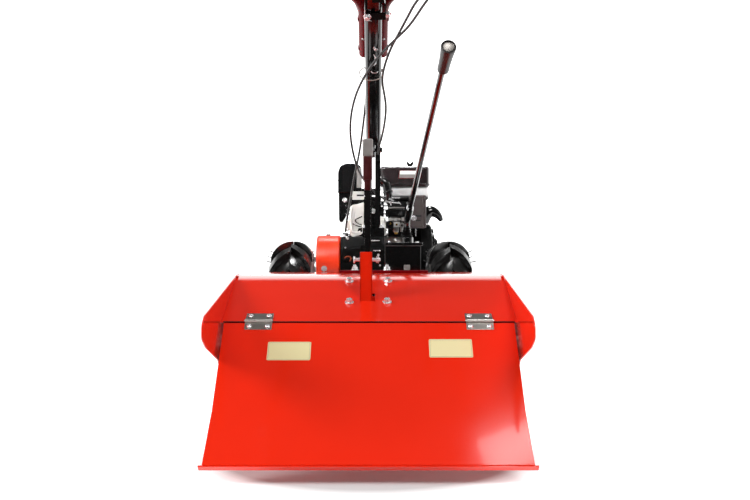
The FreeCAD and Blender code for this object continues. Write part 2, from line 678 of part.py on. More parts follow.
def tine_blade(name, face, steel, out, turn):
    """A leg that sweeps backwards as it leaves the flange, and a foot bent square to it."""
    foot_reach, foot_width, sweep, foot_below_tip = 24, 42, 10.3, 8.4
    outline = [(-21, 24), (21, 24), (19, 70), (13, 105), (4, 134), (-7, 157), (-47, 150), (-36, 122),
               (-27, 92), (-22, 60)]
    corners = [Vector(float(face), y, z) for y, z in outline + outline[:1]]
    leg = DOC.addObject("Part::Feature", f"tine_leg_{name}")
    leg.Shape = Part.Face(Part.makePolygon(corners)).extrude(Vector(steel, 0, 0))
    leg.Placement = Placement(Vector(), Rotation(X_AXIS, turn))
    tilt = Rotation(X_AXIS, turn + sweep)
    start = tilt.multVec(Vector(0, -foot_width / 2, float(S.tine_radius - foot_below_tip)))
    low = face + (steel if out > 0 else -foot_reach)
    foot = box(f"tine_foot_{name}", (low + start.x, start.y, start.z), (foot_reach, foot_width, steel))
    foot.Placement = Placement(foot.Placement.Base, tilt)
    return [leg, foot]


# ---------------------------------------------------------------- depth stake

def stake_bracket():
    """A square tube on the rear panel, with its foot plate and the hole for the cross pin."""
    x, y, half, wall, floor = S.stake_x, S.stake_y, S.bracket_half, 3, 296
    outer = box("bracket_tube", (x - half, y - 15, floor), (2 * half, 30, S.bracket_top - floor))
    inner = box("bracket_hole", (x - half + wall, y - 15 + wall, floor - 6),
                (2 * (half - wall), 2 * (15 - wall), S.bracket_top - floor + 16))
    foot = box("bracket_foot", (x - 48, y + 15 - wall, floor + 4), (96, wall, 26))
    tube = cut("bracket_hollow", fuse("bracket_solid", [outer, foot]), inner)
    finish(cut("bracket_drilled", tube, pin_hole("bracket_pin_hole")), "depth_bracket")


def depth_stake():
    """The bar with its skid, its handle and the cross pin that holds it in the bracket."""
    x, y, half, handle_length = S.stake_x, S.stake_y, S.stake_half, 112
    shaft_floor, skid_half = 30, 15
    shaft = box("stake_shaft", (x - half, y - half, shaft_floor),
                (2 * half, 2 * half, S.stake_top - handle_length - shaft_floor))
    skid = slab("stake_skid", "YZ_Plane", [
        (y - 46, 26), (y - 40, 6), (y - 24, 0), (y + 16, 0), (y + 28, 8), (y + 28, 14), (y + 7, 14),
        (y + 7, 34), (y - 7, 34), (y - 7, 14), (y - 30, 14), (y - 36, 30)], 2 * skid_half)
    put(skid, (x - skid_half, 0, 0))
    whole = fuse("stake_whole", [shaft, skid])
    finish(cut("stake_drilled", whole, pin_hole("stake_pin_hole")), "depth_stake")
    handle = slab("stake_handle", "XY_Plane", [
        (x - 11.5, y - 9), (x + 11.5, y - 9), (x + 11.5, y + 9), (x - 11.5, y + 9)], handle_length,
        [(6, (0, 1, 2, 3))])
    put(handle, (0, 0, S.stake_top - handle_length))
    finish(handle, "stake_handle")
    pin = rod("stake_pin_rod", (x - 26, y, S.stake_pin_z), 4, 54)
    head = rod("stake_pin_head", (x - 31, y, S.stake_pin_z), 8, 6)
    finish(fuse("stake_pin_whole", [pin, head]), "stake_pin")


def pin_hole(name):
    return rod(name, (S.stake_x - 60, S.stake_y, S.stake_pin_z), 4.2, 120)


# ---------------------------------------------------------------- column and handlebar

def column_post():
    """Two straps that hold the column's disc between them, their shoe on the gearbox and the pivot bolt."""
    strap_half, strap_floor, bolt_reach, bolt_radius = 16, 470, 20, 5
    rear, front, top = S.pivot_y - strap_half, S.pivot_y + strap_half, S.pivot_z + strap_half
    straps = []
    for side in (-1, 1):
        low = S.column_x + (S.post_gap / 2 if side > 0 else -S.post_gap / 2 - S.post_bar)
        strap = slab(f"post_strap_{side + 1}", "YZ_Plane", [
            (rear, strap_floor), (front, strap_floor), (front, top), (rear, top)],
            S.post_bar, [(strap_half - 0.5, (2, 3))])
        straps.append(put(strap, (low, 0, 0)))
    shoe = box("post_shoe", (S.column_x - 29, S.pivot_y - 24, S.gearbox_top + 0.2), (58, 48, 24))
    stop = box("post_cable_stop", (S.column_x + 6, S.pivot_y - 36, 664), (11, 24, 14))
    bolt = rod("post_bolt", (S.column_x - bolt_reach, S.pivot_y, S.pivot_z), bolt_radius, 2 * bolt_reach)
    finish(fuse("post_whole", [*straps, shoe, stop, bolt]), "column_post")


def column():
    """Two square tubes and the web between them, drawn along +Y from the pivot and then tilted back."""
    start, length, tube, tube_middle, web_half = 34, S.column_length, 16, 12, 7
    disc_radius, lug_half, hole_radius = 21, 14, 5.3
    tubes = [box(f"column_tube_{side + 1}", (side * tube_middle - tube / 2, start, -tube / 2),
                 (tube, length - start, tube)) for side in (-1, 1)]
    web = box("column_web", (-web_half, start, -4), (2 * web_half, length - start, 8))
    thickness = S.post_gap - 1
    disc = rod("column_disc", (-thickness / 2, 0, 0), disc_radius, thickness)
    lug = box("column_lug", (-thickness / 2, 0, -lug_half), (thickness, start + 20, 2 * lug_half))
    hole = rod("column_pivot_hole", (-30, 0, 0), hole_radius, 60)
    whole = cut("column_drilled", fuse("column_solid", [*tubes, web, disc, lug]), hole)
    put(whole, (S.column_x, S.pivot_y, S.pivot_z), X_AXIS, 180 - S.column_angle)
    finish(whole, "column")


def arm_route(side):
    """Along the column's upper side, out and up in a wide bend, then back to the hand."""
    lateral = float(S.column_x) + side * 20
    return [Vector(lateral, *along_column(382, S.arm_rise)), Vector(lateral, *along_column(564, S.arm_rise)),
            Vector(side * 215, -780, 1046), Vector(side * 284, -1010, 1046), Vector(side * 290, -1262, 1018)]


def handlebar_arm(name, side):
    """A hollow tube with a plugged foot, drilled for the clamp's bolts, and the sleeve on its end."""
    wall, bend, plug_length, grip_length, grip_past_end = 2.5, 112, 4, 135, 6
    route = arm_route(side)
    tube, _, _ = round_tube(route, S.arm_radius, bend)
    bore, _, _ = round_tube(route, S.arm_radius - wall, bend)
    aim_up = (route[1] - route[0]).normalize()
    tube = tube.cut(bore).fuse(Part.makeCylinder(float(S.arm_radius) - wall, plug_length, route[0], aim_up))
    for bolt in clamp_bolts(4.3):
        tube = tube.cut(bolt)
    finish_shape(tube.removeSplitter(), f"handlebar_{name}")
    end = route[-1]
    aim = (route[-2] - end).normalize()
    sleeve = Part.makeCylinder(float(S.grip_radius), grip_length, end - aim * grip_past_end, aim)
    bore = Part.makeCylinder(float(S.arm_radius) + 0.05, grip_length, end, aim)
    finish_shape(sleeve.cut(bore), f"grip_{name}")


def hand_controls():
    """Under each grip a lever: a clamp round the arm, a stem below it and a bent blade."""
    clamp_radius, clamp_length, blade_radius = 19, 24, 5
    for name, side in (("left", -1), ("right", 1)):
        blade, _, _ = round_tube([(side * 287, -1060, 1012), (side * 287, -1090, 996),
                                  (side * 290, -1230, 978)], blade_radius, 30)
        clamp = Part.makeCylinder(clamp_radius, clamp_length, Vector(side * 285.5, -1064, 1040),
                                  Vector(0, 1, 0.05))
        stem = Part.makeBox(14, 18, 34, Vector(side * 286 - 7, -1064, 1006))
        arm = FINISHED[f"handlebar_{name}"].Shape.copy()
        arm.Placement = Placement()
        finish_shape(clamp.fuse([stem, blade]).cut(arm).removeSplitter(), f"clutch_lever_{name}")


def along_column(run, rise):
    """(y, z) of the point that far up the column from the pivot, that high above its middle plane."""
    lean = math.radians(float(S.column_angle))
    return (float(S.pivot_y) - run * math.cos(lean) + float(rise) * math.sin(lean),
            float(S.pivot_z) + run * math.sin(lean) + float(rise) * math.cos(lean))


def clamp_bolts(radius):
    """The two bolts that cross both arms, or the holes for them."""
    reach = 34.5
    return [Part.makeCylinder(radius, 2 * reach, Vector(float(S.column_x) - reach,
                                                        *along_column(run, S.arm_rise)), X_AXIS)
            for run in (402, 505)]


def arm_clamp():
    """The block between the two arms, on the column's web, with the bolts that cross both arms."""
    thickness, length, height, start, rise = 7.6, 134, 33, 386, 4.4
    middle = Part.makeBox(thickness, length, height, Vector(-thickness / 2, start, rise))
    middle.Placement = Placement(Vector(float(S.column_x), float(S.pivot_y), float(S.pivot_z)),
                                 Rotation(Z_AXIS, 180).multiply(Rotation(X_AXIS, float(S.column_angle))))
    finish_shape(middle.fuse(clamp_bolts(4)).removeSplitter(), "arm_clamp")


# ---------------------------------------------------------------- wheels

TYRE_FACETS = 34
LUGS_PER_SIDE = 14
# how far the lugs of the left half lag behind those of the right half, as a share of their spacing
HANDS_APART = 0.25


def faceted_drum(profile):
    """A many-sided drum about the X axis, with flat faces, through rings of (place along it, radius)."""
    rings = []
    for place, radius in profile:
        spokes = [2 * math.pi * facet / TYRE_FACETS for facet in range(TYRE_FACETS)]
        rings.append([Vector(float(place), float(radius) * math.sin(spoke), float(radius) * math.cos(spoke))
                      for spoke in spokes])
    faces = [Part.Face(Part.makePolygon(ring + ring[:1])) for ring in (rings[0], rings[-1])]
    for ring, following in zip(rings, rings[1:]):
        for facet in range(TYRE_FACETS):
            beside = (facet + 1) % TYRE_FACETS
            corners = [ring[facet], ring[beside], following[beside], following[facet], ring[facet]]
            faces.append(Part.Face(Part.makePolygon(corners)))
    drum = Part.makeSolid(Part.makeShell(faces))
    if drum.Volume < 0:
        drum.reverse()
    return drum


def mirrored(profile):
    """A half profile, from the side to the middle, with its mirror image behind it."""
    return profile + [(-place, radius) for place, radius in profile[::-1]]


def tyre_lug(name, side, order):
    """One bar of the tread: it slants back from the tyre's middle and falls away to the shoulder."""
    half, crown = float(S.tyre_width) / 2, float(S.carcass_radius)
    sweep = float(sine(S.lug_slant) / cosine(S.lug_slant))
    width = float(S.lug_thickness / cosine(S.lug_slant))
    lead = half * sweep / 2
    top = math.sqrt(float(S.wheel_radius) ** 2 - (lead + width / 2) ** 2)
    outline = [(2, crown - 12), (2, top), (24, top - 4), (39, top - 12), (50, top - 25), (half, top - 45),
               (half - 8, crown - 31), (28, crown - 14)]
    corners = [Vector(side * place, lead - place * sweep - width / 2, radius)
               for place, radius in outline + outline[:1]]
    lug = DOC.addObject("Part::Feature", name)
    lug.Shape = Part.Face(Part.makePolygon(corners)).extrude(Vector(0, width, 0))
    turn = 360 / LUGS_PER_SIDE * (order + (0 if side > 0 else HANDS_APART))
    lug.Placement = Placement(Vector(), Rotation(X_AXIS, turn))
    return lug


def tyre(name, side):
    """A hollow carcass on the rim's bead seats, with slanting lugs from the middle to each shoulder."""
    half, bead, crown = S.tyre_width / 2, S.bead_radius + 0.8, S.carcass_radius
    solid = faceted_drum(mirrored([
        (half - 18, bead), (half - 13, bead + 12), (half - 3, bead + 34), (half, crown - 38),
        (half - 8, crown - 18), (half - 25, crown - 5), (12, crown)]))
    cavity = faceted_drum(mirrored([
        (half - 26, bead), (half - 22, bead + 12), (half - 14, bead + 34), (half - 14, crown - 36),
        (half - 26, crown - 19)]))
    bore = faceted_drum([(half, bead), (-half, bead)])
    carcass = DOC.addObject("Part::Feature", f"tyre_{name}_carcass")
    carcass.Shape = solid.cut([cavity, bore])
    lugs = [tyre_lug(f"tyre_{name}_lug_{hand + 1}_{order}", hand, order)
            for hand in (-1, 1) for order in range(LUGS_PER_SIDE)]
    whole = put(fuse(f"tyre_{name}_whole", [carcass, *lugs]), (side * S.track_half, 0, S.axle_height))
    finish(whole, f"tyre_{name}")


def rim(name, side):
    """A pressed drop-centre rim, its disc and the hub that slides over the axle."""
    seat = S.bead_radius
    face = [(43, seat + 7), (40, seat + 7), (37, seat), (21, seat), (15, seat - 16)]
    back = [(43, seat + 7), (39.5, seat - 3), (23, seat - 3), (17, seat - 19)]
    mirrored_back = [(-along, radius) for along, radius in back[1:]]
    outline = (face + [(-along, radius) for along, radius in face[::-1]]
               + mirrored_back + back[:0:-1])
    ring, _ = turned(f"rim_{name}_ring", outline)
    disc_inset, disc_steel, hub_length, flange_radius, flange_thickness = 12, 4, 122, 46, 14
    disc_middle = -side * disc_inset
    pieces = [ring,
              rod(f"rim_{name}_disc", (disc_middle - disc_steel / 2, 0, 0), seat - 18, disc_steel),
              rod(f"rim_{name}_sleeve", (-hub_length if side > 0 else 0, 0, 0), S.hub_radius, hub_length),
              rod(f"rim_{name}_flange", (disc_middle - flange_thickness / 2, 0, 0), flange_radius,
                  flange_thickness)]
    bore = rod(f"rim_{name}_bore", (-200, 0, 0), S.axle_rod_radius + 0.1, 400)
    whole = cut(f"rim_{name}_whole", fuse(f"rim_{name}_solid", pieces), bore)
    put(whole, (side * S.track_half, 0, S.axle_height))
    finish(whole, f"rim_{name}")


# ---------------------------------------------------------------- control cables

CABLE_ROUTES = {
    "clutch_cable_right": [
        (286, -1044.6, 1012), (260, -985, 1000), (228, -920, 990), (196, -845, 984), (162, -770, 978),
        (128, -695, 968), (99, -625, 955), (83, -570, 934), (61, -505, 904), (48, -473, 886),
        (34, -410, 858), (28, -357, 831), (36, -300, 803), (40, -250, 781), (37, -190, 752),
        (30, -130, 722), (21, -92, 698), (19.5, -82, 681)],
    "throttle_cable": [
        (272, -1038, 1018), (262, -985, 1010), (246, -925, 1006), (220, -850, 1001), (185, -775, 990),
        (150, -700, 974), (121, -635, 954.5), (90, -550, 921), (62, -520, 900), (36, -474, 884),
        (5, -415, 860), (-22, -350, 828), (-40, -285, 796), (-51, -215, 755), (-52, -135, 713),
        (-40, -65, 657), (-18, -5, 616), (3, 45, 595), (22, 88, 582), (40, 122, 572),
        (51, 143, 562), (52, 151, 543.6)],
    "clutch_cable_left": [
        (-286, -1044.6, 1012), (-262, -985, 1018), (-228, -915, 1032), (-190, -840, 1048),
        (-150, -770, 1058), (-112, -700, 1047), (-75, -630, 1024), (-45, -560, 998), (-25, -490, 971),
        (-14, -424, 942), (-10, -364, 916), (-9, -312, 872), (-9, -262, 832), (-12, -206, 797),
        (-18, -142, 759), (-27, -70, 705), (-37, -30, 658), (-47, -6, 614), (-54, 8, 573), (-61, 18, 537),
        (-68, 26, 500), (-70, 30, 477)],
}


def cables():
    for name, route in CABLE_ROUTES.items():
        tube, path, radii = round_tube(route, S.cable_radius)
        print(f"{name}: {path.Length:.0f} mm long, arcs from {min(radii):.0f} to {max(radii):.0f} mm")
        finish_shape(tube, name)


# ---------------------------------------------------------------- the whole machine

def check_document():
    DOC.recompute()
    failed = [thing.Name for thing in DOC.Objects
              if {"Invalid", "Error"} & set(thing.State)]
    bad = [label for label, thing in FINISHED.items()
           if thing.Shape.isNull() or not thing.Shape.isValid() or thing.Shape.Volume <= 0]
    if failed or bad:
        raise RuntimeError(f"failed objects: {failed}; bad shapes: {bad}")


def write_parts():
    os.makedirs("parts", exist_ok=True)
    for label, thing in FINISHED.items():
        thing.Shape.exportStep(f"parts/{label}.step")


def main():
    fill_sheet()
    gearbox()
    axle_case()
    selector()
    gear_lever()
    belt_cover()
    drive_case()
    frame()
    bumper()
    crankcase()
    cylinder()
    fan_side()
    tank()
    air_cleaner()
    breathing()
    hood_panel()
    side_plate("left", -1)
    side_plate("right", 1)
    hood_mount()
    flap()
    hinges()
    rotor()
    stake_bracket()
    depth_stake()
    column_post()
    column()
    handlebar_arm("left", -1)
    handlebar_arm("right", 1)
    arm_clamp()
    hand_controls()
    for name, side in (("left", -1), ("right", 1)):
        tyre(name, side)
        rim(name, side)
    cables()
    check_document()
    write_parts()


main()
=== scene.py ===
"""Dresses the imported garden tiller: finishes, fastenings, castings, tyres and cables.

Lengths are millimetres until a mesh is finished, and then metres. +Y is forward, +X is the
right-hand side and +Z is up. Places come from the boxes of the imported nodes.
"""
import json
import logging
import math
from collections.abc import Iterator
from dataclasses import dataclass, field
from enum import Enum

import bmesh
import bpy
from bmesh.types import BMesh
from bpy.types import ID, Material, Node, NodeSocket, NodeTree, Object
from mathutils import Matrix, Vector

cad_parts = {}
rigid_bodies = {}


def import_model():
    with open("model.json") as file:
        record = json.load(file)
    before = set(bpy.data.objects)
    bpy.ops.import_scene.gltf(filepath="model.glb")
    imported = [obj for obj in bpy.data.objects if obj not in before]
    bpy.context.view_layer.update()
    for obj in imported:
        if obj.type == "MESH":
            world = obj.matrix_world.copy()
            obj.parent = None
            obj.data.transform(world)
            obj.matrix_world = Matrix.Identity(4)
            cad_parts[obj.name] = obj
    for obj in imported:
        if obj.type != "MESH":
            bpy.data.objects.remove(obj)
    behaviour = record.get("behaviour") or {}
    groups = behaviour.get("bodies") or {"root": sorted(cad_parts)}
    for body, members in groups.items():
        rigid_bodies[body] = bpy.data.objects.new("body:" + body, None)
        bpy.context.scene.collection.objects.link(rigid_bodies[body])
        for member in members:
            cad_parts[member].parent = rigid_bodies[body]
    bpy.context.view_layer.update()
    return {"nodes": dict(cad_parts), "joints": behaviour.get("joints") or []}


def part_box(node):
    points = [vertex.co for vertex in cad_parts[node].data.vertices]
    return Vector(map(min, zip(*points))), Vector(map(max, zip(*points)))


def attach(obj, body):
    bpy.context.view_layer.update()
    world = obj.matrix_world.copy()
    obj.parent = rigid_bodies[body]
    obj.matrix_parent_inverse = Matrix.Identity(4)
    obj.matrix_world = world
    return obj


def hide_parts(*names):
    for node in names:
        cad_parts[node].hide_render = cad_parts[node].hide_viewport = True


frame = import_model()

LOG = logging.getLogger("tiller")
MM = 0.001
WELD_MM = 0.002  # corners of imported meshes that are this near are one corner
FLAT_DEGREES = 1.2  # packed faces that bend less than this are one face
Pairs = tuple[tuple[float, float], ...]
SIDES = {"left": -1, "right": 1}
WHITE = (1.0, 1.0, 1.0, 1.0)


def xyz(*numbers: float) -> Vector:
    """A vector from its three numbers."""
    return Vector(numbers)


X, Y, Z = xyz(1, 0, 0), xyz(0, 1, 0), xyz(0, 0, 1)


class Body(str, Enum):
    """The bodies that pieces ride on."""

    CHASSIS = "chassis"
    FLAP = "flap"
    ROTOR = "rotor"
    WHEEL_LEFT = "wheel_left"
    WHEEL_RIGHT = "wheel_right"
    HANDLEBAR = "handlebar"


class Slot(str, Enum):
    """The record's material slots."""

    RED = "red_enamel"
    DARK_RED = "dark_red_enamel"
    RED_PLASTIC = "red_plastic"
    BLACK = "black_enamel"
    BLACK_CASTING = "black_casting"
    CASTING = "bare_casting"
    STEEL = "bright_steel"
    PLASTIC = "black_plastic"
    TANK = "dark_grey_enamel"
    PALE = "pale_grey_enamel"
    GRIP = "grip_rubber"
    TYRE = "tyre_rubber"


# ---- finishes

def linear(hex_colour: str) -> tuple[float, float, float, float]:
    """Turn an sRGB hex colour into a linear one.

    Args:
        hex_colour: six hex digits after a hash.

    Returns:
        Red, green, blue and alpha for a shader socket.
    """
    channels = [int(hex_colour[place:place + 2], 16) / 255 for place in (1, 3, 5)]
    return (*[c / 12.92 if c <= 0.04045 else ((c + 0.055) / 1.055) ** 2.4 for c in channels], 1.0)


def add_node(tree: NodeTree, kind: str, inputs: dict | None = None, **settings: object) -> Node:
    """Add a shader node with its settings, its values and its links.

    Args:
        tree: the material's node tree.
        kind: the node's type name.
        inputs: by socket name or number, a value, or the socket to link from.
        **settings: the node's own properties.

    Returns:
        The new node.
    """
    node = tree.nodes.new(kind)
    for name, setting in settings.items():
        setattr(node, name, setting)
    set_inputs(node, inputs or {})
    return node


def set_inputs(node: Node, inputs: dict) -> None:
    """Give a node's sockets their values or links.

    Args:
        node: the node.
        inputs: by socket name or number, a value, or the socket to link from.
    """
    for socket, given in inputs.items():
        if isinstance(given, NodeSocket):
            node.id_data.links.new(given, node.inputs[socket])
        else:
            node.inputs[socket].default_value = given


def per_metre(millimetres: float) -> float:
    """A noise scale whose features are that many millimetres across."""
    return 1 / (millimetres * MM)


@dataclass(frozen=True)
class Finish:
    """A surface: its colour and gloss, a slow change of tone, and a fine relief."""

    name: str
    slot: Slot
    colour: str
    roughness: float
    metallic: float = 0.0
    coat: float = 0.0
    coat_roughness: float = 0.04
    specular: float = 0.5
    tone: float = 0.06
    tone_mm: float = 70.0
    grain_mm: float = 1.0
    relief_mm: float = 0.02
    rough_change: float = 0.06

    def build(self) -> Material:
        """Make the material, once: the same cloud varies its tone and its roughness.

        Returns:
            The material.
        """
        made = bpy.data.materials.get(self.name)
        if made:
            return made
        made = bpy.data.materials.new(self.name)
        made.use_nodes = True
        tree = made.node_tree
        place = add_node(tree, "ShaderNodeTexCoord").outputs["Object"]
        cloud = add_node(tree, "ShaderNodeTexNoise", {"Vector": place, "Scale": per_metre(self.tone_mm),
            "Detail": 3.0}).outputs["Fac"]
        base = linear(self.colour)[:3]
        shares = (1 - self.tone, 1 + self.tone)
        darker, lighter = ((*[min(1.0, c * share) for c in base], 1.0) for share in shares)
        tint = add_node(tree, "ShaderNodeMix", {0: cloud, 6: darker, 7: lighter}, data_type="RGBA")
        smoothest = max(0.02, self.roughness - self.rough_change)
        roughest = self.roughness + self.rough_change
        rub = add_node(tree, "ShaderNodeMapRange", {"Value": cloud, "To Min": smoothest,
            "To Max": roughest})
        bump = add_node(tree, "ShaderNodeBump", {"Height": self.relief(tree, place),
            "Distance": self.relief_mm * MM, "Strength": 1.0})
        set_inputs(tree.nodes["Principled BSDF"], {"Metallic": self.metallic, "Coat Weight": self.coat,
            "Coat Roughness": self.coat_roughness, "Specular IOR Level": self.specular,
            "Base Color": tint.outputs[2], "Roughness": rub.outputs["Result"],
            "Normal": bump.outputs["Normal"]})
        return made

    def relief(self, tree: NodeTree, place: NodeSocket) -> NodeSocket:
        """The height of the fine relief: soft, rounded grains."""
        return add_node(tree, "ShaderNodeTexNoise", {"Vector": place, "Scale": per_metre(self.grain_mm),
            "Detail": 1.5}).outputs["Fac"]


@dataclass(frozen=True)
class SandCast(Finish):
    """Cast metal: coarse pimples of several sizes."""

    def relief(self, tree: NodeTree, place: NodeSocket) -> NodeSocket:
        """Pimples from the mould, a few sizes together.

        Args:
            tree: the material's node tree.
            place: the object coordinates.

        Returns:
            The height's socket.
        """
        grain = add_node(tree, "ShaderNodeTexVoronoi",
            {"Vector": place, "Scale": per_metre(self.grain_mm)}, feature="SMOOTH_F1")
        coarse = per_metre(self.grain_mm * 2)
        rough = add_node(tree, "ShaderNodeTexNoise", {"Vector": place, "Scale": coarse, "Detail": 5.0})
        heights = {0: grain.outputs["Distance"], 1: rough.outputs["Fac"]}
        return add_node(tree, "ShaderNodeMath", heights, operation="ADD").outputs["Value"]


@dataclass(frozen=True)
class Brushed(Finish):
    """Metal with fine parallel marks along X."""

    def relief(self, tree: NodeTree, place: NodeSocket) -> NodeSocket:
        """Long thin scratches, made by squeezing a noise across the brushing."""
        squeezed = add_node(tree, "ShaderNodeMapping",
            {"Vector": place, "Scale": xyz(0.04, 1, 1)}).outputs["Vector"]
        return add_node(tree, "ShaderNodeTexNoise", {"Vector": squeezed, "Scale": per_metre(self.grain_mm),
            "Detail": 4.0}).outputs["Fac"]


@dataclass(frozen=True)
class Ribbed(Finish):
    """Moulding with fine ribs across Y, as on a soft grip."""

    def relief(self, tree: NodeTree, place: NodeSocket) -> NodeSocket:
        """Even ribs, one grain apart."""
        return add_node(tree, "ShaderNodeTexWave",
            {"Vector": place, "Scale": per_metre(self.grain_mm) / 20, "Distortion": 0.0},
            wave_type="BANDS", bands_direction="Y").outputs["Fac"]


# Powder-coated sheet steel: a deep glossy orange red with the slight ripple of baked paint.
POWDER_RED = Finish("powder_coat_red", Slot.RED, "#E8260A", 0.14, coat=0.3, tone=0.03, grain_mm=3.0,
    relief_mm=0.004, rough_change=0.02)
# Baked enamel on tube: a dark crimson that mirrors the room less than the hood does.
CRIMSON = Finish("crimson_enamel_tube", Slot.DARK_RED, "#66030C", 0.26, specular=0.14, tone=0.05,
    grain_mm=3.0, relief_mm=0.003, rough_change=0.02)
# Moulded red ABS: lighter and softer than the paint, with a faint spark-eroded texture.
RED_ABS = Finish("moulded_red_abs", Slot.RED_PLASTIC, "#EE3A18", 0.34, tone=0.03, grain_mm=0.7,
    relief_mm=0.012)
# Black gloss enamel on steel: near black, picks up the white of the room.
BLACK_GLOSS = Finish("black_gloss_enamel", Slot.BLACK, "#080808", 0.12, coat=0.8, tone=0.1, grain_mm=2.5,
    relief_mm=0.003, rough_change=0.03)
# Thick wet black enamel on the column: mirrors the bright room on its rounded edges.
WET_BLACK = Finish("wet_black_enamel", Slot.BLACK, "#0C0B0B", 0.14, coat=0.8, tone=0.1, grain_mm=2.5,
    relief_mm=0.003, rough_change=0.03)
# Black painted castings: satin paint that follows the sand-cast skin.
BLACK_CAST = SandCast("black_painted_casting", Slot.BLACK_CASTING, "#080808", 0.2, coat=0.5, specular=0.3,
    tone=0.15, grain_mm=1.6, relief_mm=0.035)
# Satin black paint on castings and shells: rough, so that it stays dark in a bright room.
SATIN_CAST = SandCast("satin_black_casting", Slot.BLACK_CASTING, "#050505", 0.5, specular=0.06, tone=0.15,
    grain_mm=1.5, relief_mm=0.04)
# Bare die-cast aluminium: pale grey, fine-grained, softly shining.
DIE_CAST = SandCast("die_cast_aluminium", Slot.CASTING, "#C4C2BE", 0.38, metallic=0.3, tone=0.12,
    grain_mm=0.9, relief_mm=0.06, tone_mm=25)
# Bright zinc plate on fasteners: pale, slightly blue, with small smooth crystals.
ZINC = Finish("bright_zinc_plate", Slot.STEEL, "#F4F5F6", 0.26, metallic=0.72, tone=0.08, tone_mm=8,
    grain_mm=0.5, relief_mm=0.006)
# Rolled stainless hinge leaf: straight brushing along the hinge.
HINGE_STEEL = Brushed("brushed_stainless", Slot.STEEL, "#C4BFB9", 0.3, metallic=1.0, tone=0.06,
    grain_mm=0.5, relief_mm=0.01)
# Injection-moulded black plastic: glossy, with a slight flow ripple.
BLACK_PP = Finish("moulded_black_plastic", Slot.PLASTIC, "#0A0A0A", 0.16, coat=0.5, tone=0.1, grain_mm=1.2,
    relief_mm=0.006)
# Textured black plastic of covers and guards: matt, leathery.
MATT_PP = Finish("textured_black_plastic", Slot.PLASTIC, "#0B0B0C", 0.36, specular=0.4, tone=0.12,
    grain_mm=0.8, relief_mm=0.03)
# Tank enamel: charcoal, glossy.
TANK_GREY = Finish("charcoal_tank_enamel", Slot.TANK, "#241C1D", 0.2, coat=0.6, tone=0.05, grain_mm=3.0,
    relief_mm=0.004)
# Pale grey painted steel of the tank's seat.
PALE_STEEL = Finish("pale_grey_paint", Slot.PALE, "#F0F0F0", 0.35, coat=0.2, tone=0.03, grain_mm=2.0,
    relief_mm=0.006)
# Mid-grey satin steel of small brackets, plugs and the tank's plate.
GREY_PLATE = Finish("mid_grey_steel", Slot.PALE, "#8B8784", 0.3, metallic=0.3, tone=0.06, grain_mm=1.0,
    relief_mm=0.006)
# Dull oxblood plastic of the stake's lower grip.
OXBLOOD = Finish("oxblood_plastic", Slot.DARK_RED, "#3A0A0B", 0.3, tone=0.12, grain_mm=1.2, relief_mm=0.01)
# Heat-resistant grey paint on the silencer: dull, faintly mottled by heat.
HEAT_GREY = Finish("heat_resistant_paint", Slot.BLACK, "#3C3433", 0.42, metallic=0.3, tone=0.18,
    tone_mm=30, grain_mm=0.9, relief_mm=0.03)
# Cured tyre rubber, new: black, with the soft shine of the mould.
TYRE = Finish("tyre_rubber_compound", Slot.TYRE, "#0C0A09", 0.3, coat=0.35, coat_roughness=0.2, tone=0.25,
    tone_mm=35, grain_mm=0.7, relief_mm=0.03, rough_change=0.08)
# Soft PVC grip: ribbed along its length.
SOFT_GRIP = Ribbed("soft_pvc_grip", Slot.GRIP, "#141414", 0.55, tone=0.15, grain_mm=5.0, relief_mm=0.5)
# PVC cable sheath: smooth black with a soft line of light.
SHEATH = Finish("pvc_cable_sheath", Slot.GRIP, "#1F1B1A", 0.32, tone=0.1, grain_mm=1.0, relief_mm=0.008)
# Yellowed cream vinyl of blank plates.
CREAM_VINYL = Finish("cream_vinyl_plate", Slot.PALE, "#E6DCA8", 0.4, tone=0.02, grain_mm=1.0,
    relief_mm=0.003)
# Natural nylon of cable ties: milky.
NYLON = Finish("natural_nylon", Slot.PALE, "#B4AAA2", 0.35, tone=0.03, relief_mm=0.004)
# Turned brass of the carburettor's jets and unions.
BRASS = Finish("turned_brass", Slot.CASTING, "#B08D4A", 0.28, metallic=1.0, tone=0.1, tone_mm=10,
    grain_mm=0.4, relief_mm=0.006)
# Rusty orange sheath of a small cable end.
RUST_WIRE = Finish("rust_orange_sheath", Slot.RED_PLASTIC, "#9A3A12", 0.4, tone=0.2, tone_mm=10,
    relief_mm=0.01)
# Bare machined steel: shafts and pins, oiled.
GROUND_STEEL = Brushed("ground_steel", Slot.STEEL, "#9A9A98", 0.25, metallic=1.0, tone=0.08, grain_mm=0.4,
    relief_mm=0.008)
# Satin metal of small caps and plugs: grey, finely turned.
PEWTER_CAP = Brushed("satin_cap_metal", Slot.STEEL, "#77736F", 0.36, metallic=1.0, tone=0.1, tone_mm=10,
    grain_mm=0.5, relief_mm=0.01)
# Dipped paint on the blades: thin satin black that shows the forging under it.
TINE_PAINT = SandCast("dipped_black_paint", Slot.BLACK, "#1B1A19", 0.42, coat=0.15, tone=0.2, tone_mm=30,
    grain_mm=2.2, relief_mm=0.05)


# ---- places from the frame

